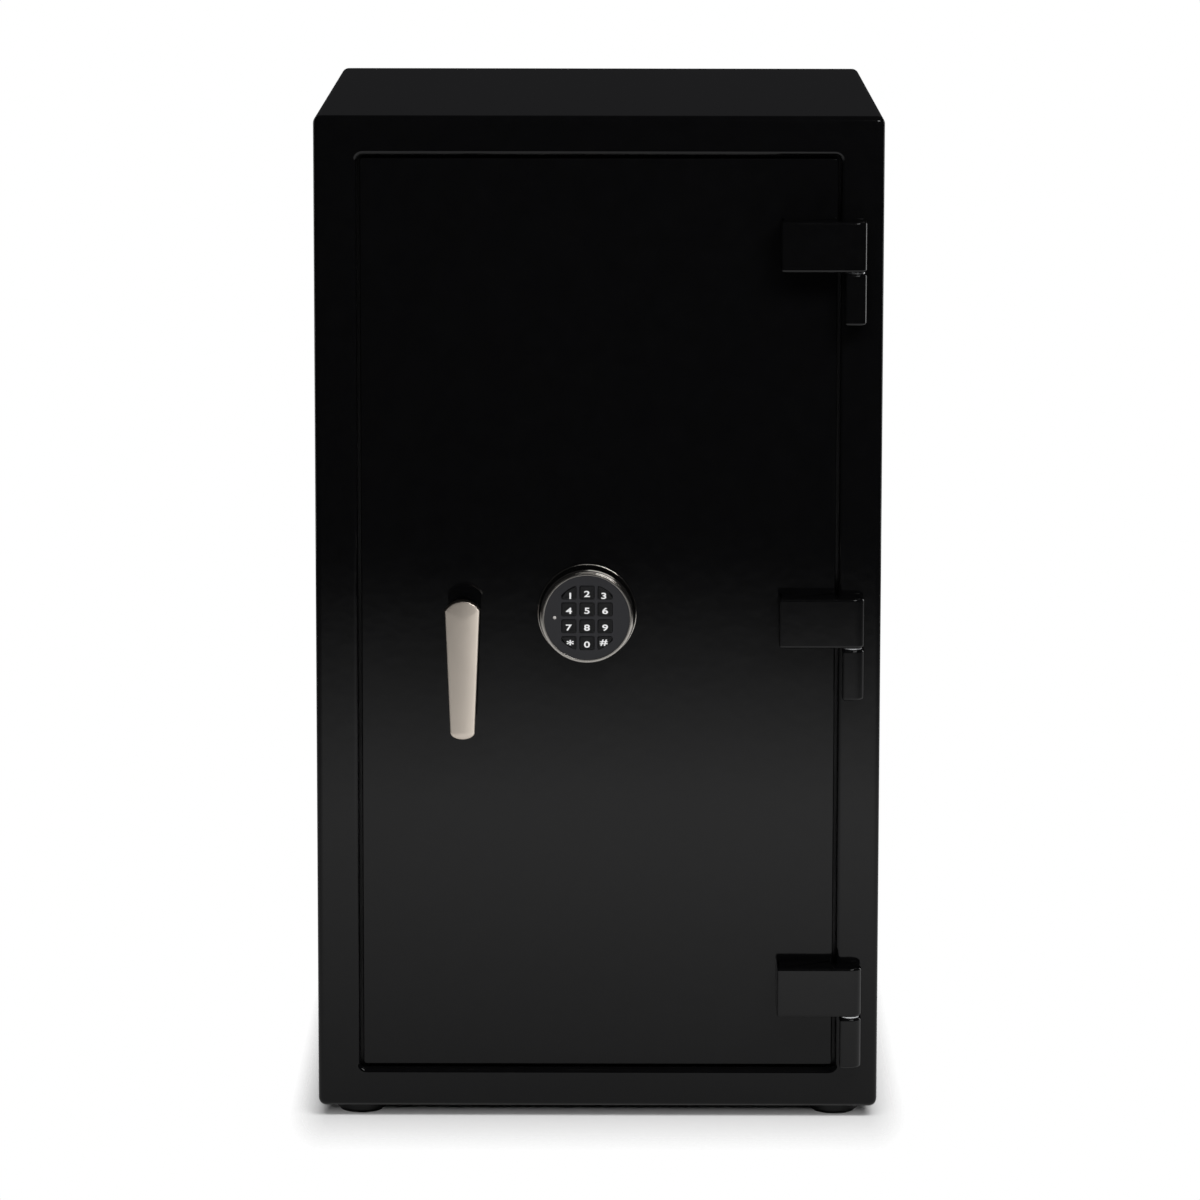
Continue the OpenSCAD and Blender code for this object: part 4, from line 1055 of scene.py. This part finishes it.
class SAFE_OT_lining(SafeOperator, bpy.types.Operator):
    """Pile lining: a tub with soft inner corners, drilled for the floor anchors"""

    bl_idname = "safe.lining"
    bl_label = "Lining"

    def build(self, scene):
        sizes = scene.safe_inside
        low, high = span("lining")
        centre, half = (low + high) / 2, ((high - low) / 2)[[0, 2]]
        thick = high[1] - span("divider")[1][1]
        front, back = low[1] - centre[1], high[1] - centre[1]
        lip, curve = bead(thick / 2, 3), bead(sizes.lining_round)
        inner = half - thick
        halves = np.concatenate([
            [half], half - lip[::-1, :1], inner + lip[:, :1], inner - curve[::-1, :1],
        ])
        corners = np.concatenate([
            [MM], np.full(2 * len(lip), MM),
            np.full(len(curve), sizes.lining_round),
        ])
        depths = np.concatenate([
            [back], front + lip[::-1, 1], front + lip[:, 1],
            back - thick - curve[::-1, 1],
        ])
        mesh = mesh_of("pile_lining", [rectangle_skin(centre, halves, corners, depths)])
        mesh = drilled(mesh, anchor_drills(low[2]))
        add_piece("pile_lining", mesh, "lining_fabric", "cabinet", ["lining"])


class SAFE_OT_shelves(SafeOperator, bpy.types.Operator):
    """Wrapped shelves, divider and notched barrel rest"""

    bl_idname = "safe.shelves"
    bl_label = "Shelves"

    def build(self, scene):
        r = scene.safe_inside.wrap_round
        low, high = span("divider")
        add_surfaces("wrapped_divider", [moulded_block(low, high, r, r, "x")], "shelf_fabric",
                     "cabinet", ["divider"])
        thick = high[0] - low[0]
        low, high = span("top_shelf")
        add_surfaces("wrapped_top_shelf", [moulded_block(low, high, r, r, "z")], "shelf_fabric",
                     "cabinet", ["top_shelf"])
        low, high = span("small_shelves")
        shelf = moulded_block(low, (high[0], high[1], low[2] + thick), r, r, "z")
        rise = high[2] - low[2] - thick
        add_surfaces("wrapped_small_shelves", moved(shelf, (0, 0, 0), (0, 0, rise)),
                     "shelf_fabric", "cabinet", ["small_shelves"])
        self.barrel_rest(scene.safe_inside, r)

    def barrel_rest(self, sizes, r):
        """Outline in plan with round-ended notches along its front."""
        low, high = span("barrel_rest")
        notch_r = sizes.notch / 2
        step, deep = (high[0] - low[0]) / NOTCH_COUNT, (high[1] - low[1]) / 2
        outline, radii = [(high[0], high[1]), (low[0], high[1]), (low[0], low[1])], [MM] * 3
        for i in range(NOTCH_COUNT):
            x = low[0] + (i + 0.5) * step
            bottom = arc((x, low[1] + deep), notch_r, 180, 0, 18)
            outline += [(x - notch_r, low[1]), *map(tuple, bottom), (x + notch_r, low[1])]
            radii += [2 * r, *[0] * len(bottom), 2 * r]
        outline.append((high[0], low[1]))
        radii.append(MM)
        rest = outline_skin(rounded(outline, radii), slab_profile(low[2], high[2], r, r),
                            (0, 0, 0), "z")
        add_surfaces("wrapped_barrel_rest", [rest], "shelf_fabric", "cabinet", ["barrel_rest"])


class SAFE_OT_stock_pad(SafeOperator, bpy.types.Operator):
    """Foam pad that the gun stocks stand on, crowned and soft at its edges"""

    bl_idname = "safe.stock_pad"
    bl_label = "Stock pad"

    def build(self, scene):
        r = scene.safe_inside.pad_round
        low, high = span("stock_pad")
        centre, half = (low + high) / 2, (high - low) / 2
        crown = scene.safe_inside.pad_crown
        base, edge = bead(MM), bead(r)[::-1]
        inward = np.linspace(r, half[1] * PAD_REACH, 12)[1:]
        share = (inward - r) / (half[1] - r)
        profile = np.concatenate([
            np.stack([base[:, 0], -half[2] + base[:, 1]], -1),
            np.stack([edge[:, 0], half[2] - crown - edge[:, 1]], -1),
            np.stack([inward, half[2] - crown * (1 - share) ** 2], -1),
        ])
        corners = scene.safe_inside.pad_corner - CORNER_SHRINK * profile[:, 0]
        pad = rectangle_skin(centre, half[:2] - profile[:, :1], corners, profile[:, 1], "z")
        piece = add_surfaces("foam_stock_pad", [pad], "pad_foam", "cabinet", ["stock_pad"])


class SAFE_OT_stage(SafeOperator, bpy.types.Operator):
    """Pale floor, soft studio light and the camera"""

    bl_idname = "safe.stage"
    bl_label = "Stage"

    def build(self, scene):
        sizes = scene.safe_stage
        self.camera(scene, sizes)
        self.floor(sizes)
        self.surroundings(scene)
        for name, (place, aim, wide, tall, power, mirrored, pieces) in LIGHTS.items():
            light = self.softbox(scene, name, place, aim, wide, tall, power * sizes.light_strength)
            light.visible_glossy = mirrored
            if pieces:
                light.light_linking.receiver_collection = self.group(name + " pieces", pieces)

    def group(self, name, pieces):
        """Collection of named pieces, the only ones that a light shines on."""
        collection = bpy.data.collections.new(name)
        for piece in pieces:
            collection.objects.link(bpy.data.objects[piece])
        return collection

    def camera(self, scene, sizes):
        camera = bpy.data.cameras.new("Camera")
        camera.lens, camera.sensor_width = sizes.lens, sizes.sensor
        camera.shift_y = sizes.lift
        camera.clip_end = 100
        obj = bpy.data.objects.new("Camera", camera)
        place = (sizes.camera_side, -sizes.camera_distance, sizes.camera_height)
        obj.matrix_world = (
            Matrix.Translation(place) @ Matrix.Rotation(sizes.camera_yaw, 4, "Z")
            @ Matrix.Rotation(math.radians(90) - sizes.camera_pitch, 4, "X")
            @ Matrix.Rotation(sizes.camera_roll, 4, "Z")
        )
        scene.collection.objects.link(obj)
        scene.camera = obj
        scene.view_settings.view_transform = "Standard"

    def floor(self, sizes):
        material = bpy.data.materials.new("Pale floor")
        nodes, links = tree_of(material)
        shader = nodes["Principled BSDF"]
        shader.inputs["Base Color"].default_value = (*FLOOR_COLOUR, 1)
        shader.inputs["Specular IOR Level"].default_value = 0.1
        place = nodes.new("ShaderNodeTexCoord").outputs["Object"]
        speckle = add_node(nodes, links, "TexNoise", {"Vector": place}, {"Scale": 3})
        ramp = add_node(nodes, links, "MapRange", {"Value": speckle.outputs["Fac"]},
                        {"To Min": 0.8, "To Max": 0.9})
        links.new(ramp.outputs["Result"], shader.inputs["Roughness"])
        away = add_node(nodes, links, "VectorMath", {0: place}, operation="LENGTH")
        far = self.faded(nodes, links, away.outputs["Value"], sizes.floor_full, sizes.floor_gone)
        beside = self.beside(nodes, links, place, sizes.shade_start)
        near = self.faded(nodes, links, beside, 0, sizes.shade_width)
        seen = nodes.new("ShaderNodeLightPath").outputs["Is Camera Ray"]
        either = add_node(nodes, links, "Mix", {"Factor": seen, "A": far, "B": near})
        clear = nodes.new("ShaderNodeBsdfTransparent")
        self.mixed(nodes, links, either.outputs["Result"], shader, clear, "Material Output")
        mesh = bpy.data.meshes.new("Floor")
        reach = sizes.floor_gone
        corners = [(-reach, -reach, 0), (reach, -reach, 0), (reach, reach, 0), (-reach, reach, 0)]
        mesh.from_pydata(corners, [], [(0, 1, 2, 3)])
        mesh.materials.append(material)
        floor = bpy.data.objects.new("Floor", mesh)
        bpy.context.scene.collection.objects.link(floor)

    def faded(self, nodes, links, distance, full, gone):
        """0 up to the distance full, 1 from the distance gone."""
        fade = add_node(nodes, links, "MapRange", {"Value": distance},
                        {"From Min": full, "From Max": gone})
        return fade.outputs["Result"]

    def beside(self, nodes, links, place, start):
        """Distance from the body's footprint drawn in by start: the length of
        max(|place - centre| - half size + start, 0), with the sides counted SIDE_SHADE times."""
        low, high = span("outer_shell")
        inner = (high - low) / 2 - (start / SIDE_SHADE, start, 0)
        value = place
        for operation, other in (("SUBTRACT", (low + high) / 2), ("ABSOLUTE", None),
                                 ("SUBTRACT", inner), ("MAXIMUM", (0, 0, 0)),
                                 ("MULTIPLY", (SIDE_SHADE, 1, 0)), ("LENGTH", None)):
            step = add_node(nodes, links, "VectorMath", {0: value},
                            {} if other is None else {1: other}, operation=operation)
            value = step.outputs["Value" if operation == "LENGTH" else "Vector"]
        return value

    def surroundings(self, scene):
        """Dim studio all round, with a white backdrop where the camera looks past the safe."""
        world = bpy.data.worlds.new("Studio")
        scene.world = world
        nodes, links = tree_of(world)
        dim, white = nodes["Background"], nodes.new("ShaderNodeBackground")
        dim.inputs["Color"].default_value = (*STUDIO_COLOUR, 1)
        white.inputs["Color"].default_value = (*BACKDROP_COLOUR, 1)
        seen = nodes.new("ShaderNodeLightPath").outputs["Is Camera Ray"]
        self.mixed(nodes, links, seen, dim, white, "World Output")

    def mixed(self, nodes, links, share, first, second, output):
        """Sends first (1 - share) + second share to the output."""
        mix = add_node(nodes, links, "MixShader",
                       {"Fac": share, 1: first.outputs[0], 2: second.outputs[0]})
        links.new(mix.outputs["Shader"], nodes[output].inputs["Surface"])

    def softbox(self, scene, name, place, aim, wide, tall, power):
        light = bpy.data.lights.new(name, "AREA")
        light.shape, light.size, light.size_y, light.energy = "RECTANGLE", wide, tall, power
        obj = bpy.data.objects.new(name, light)
        obj.location = place
        way = Vector(aim) - Vector(place)
        obj.rotation_euler = way.to_track_quat("-Z", "Y").to_euler()
        obj.visible_camera = False
        scene.collection.objects.link(obj)
        return obj


STEPS = (
    SAFE_OT_finishes, SAFE_OT_body, SAFE_OT_door_panel, SAFE_OT_hinges, SAFE_OT_feet,
    SAFE_OT_keypad, SAFE_OT_keys, SAFE_OT_handle, SAFE_OT_bolts, SAFE_OT_cover,
    SAFE_OT_lining, SAFE_OT_shelves, SAFE_OT_stock_pad, SAFE_OT_stage,
)


class SAFE_PT_panel(bpy.types.Panel):
    """Lists every build step"""

    bl_idname = "SAFE_PT_panel"
    bl_label = "Gun safe"
    bl_space_type = "VIEW_3D"
    bl_region_type = "UI"
    bl_category = "Gun safe"

    def draw(self, context):
        for step in STEPS:
            self.layout.operator(step.bl_idname)


SETTINGS = {
    "safe_colours": SafeColours,
    "safe_body": SafeBodySizes,
    "safe_keypad": SafeKeypadSizes,
    "safe_inside": SafeInsideSizes,
    "safe_stage": SafeStageSizes,
}


def register():
    for cls in (*SETTINGS.values(), *STEPS, SAFE_PT_panel):
        bpy.utils.register_class(cls)
    for name, cls in SETTINGS.items():
        setattr(bpy.types.Scene, name, bpy.props.PointerProperty(type=cls))


def unregister():
    for name in SETTINGS:
        delattr(bpy.types.Scene, name)
    for cls in reversed((*SETTINGS.values(), *STEPS, SAFE_PT_panel)):
        bpy.utils.unregister_class(cls)


def main():
    """Registers the add-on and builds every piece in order."""
    register()
    for step in STEPS:
        name = step.bl_idname.split(".")[1]
        getattr(bpy.ops.safe, name)()


if __name__ == "__main__":
    main()
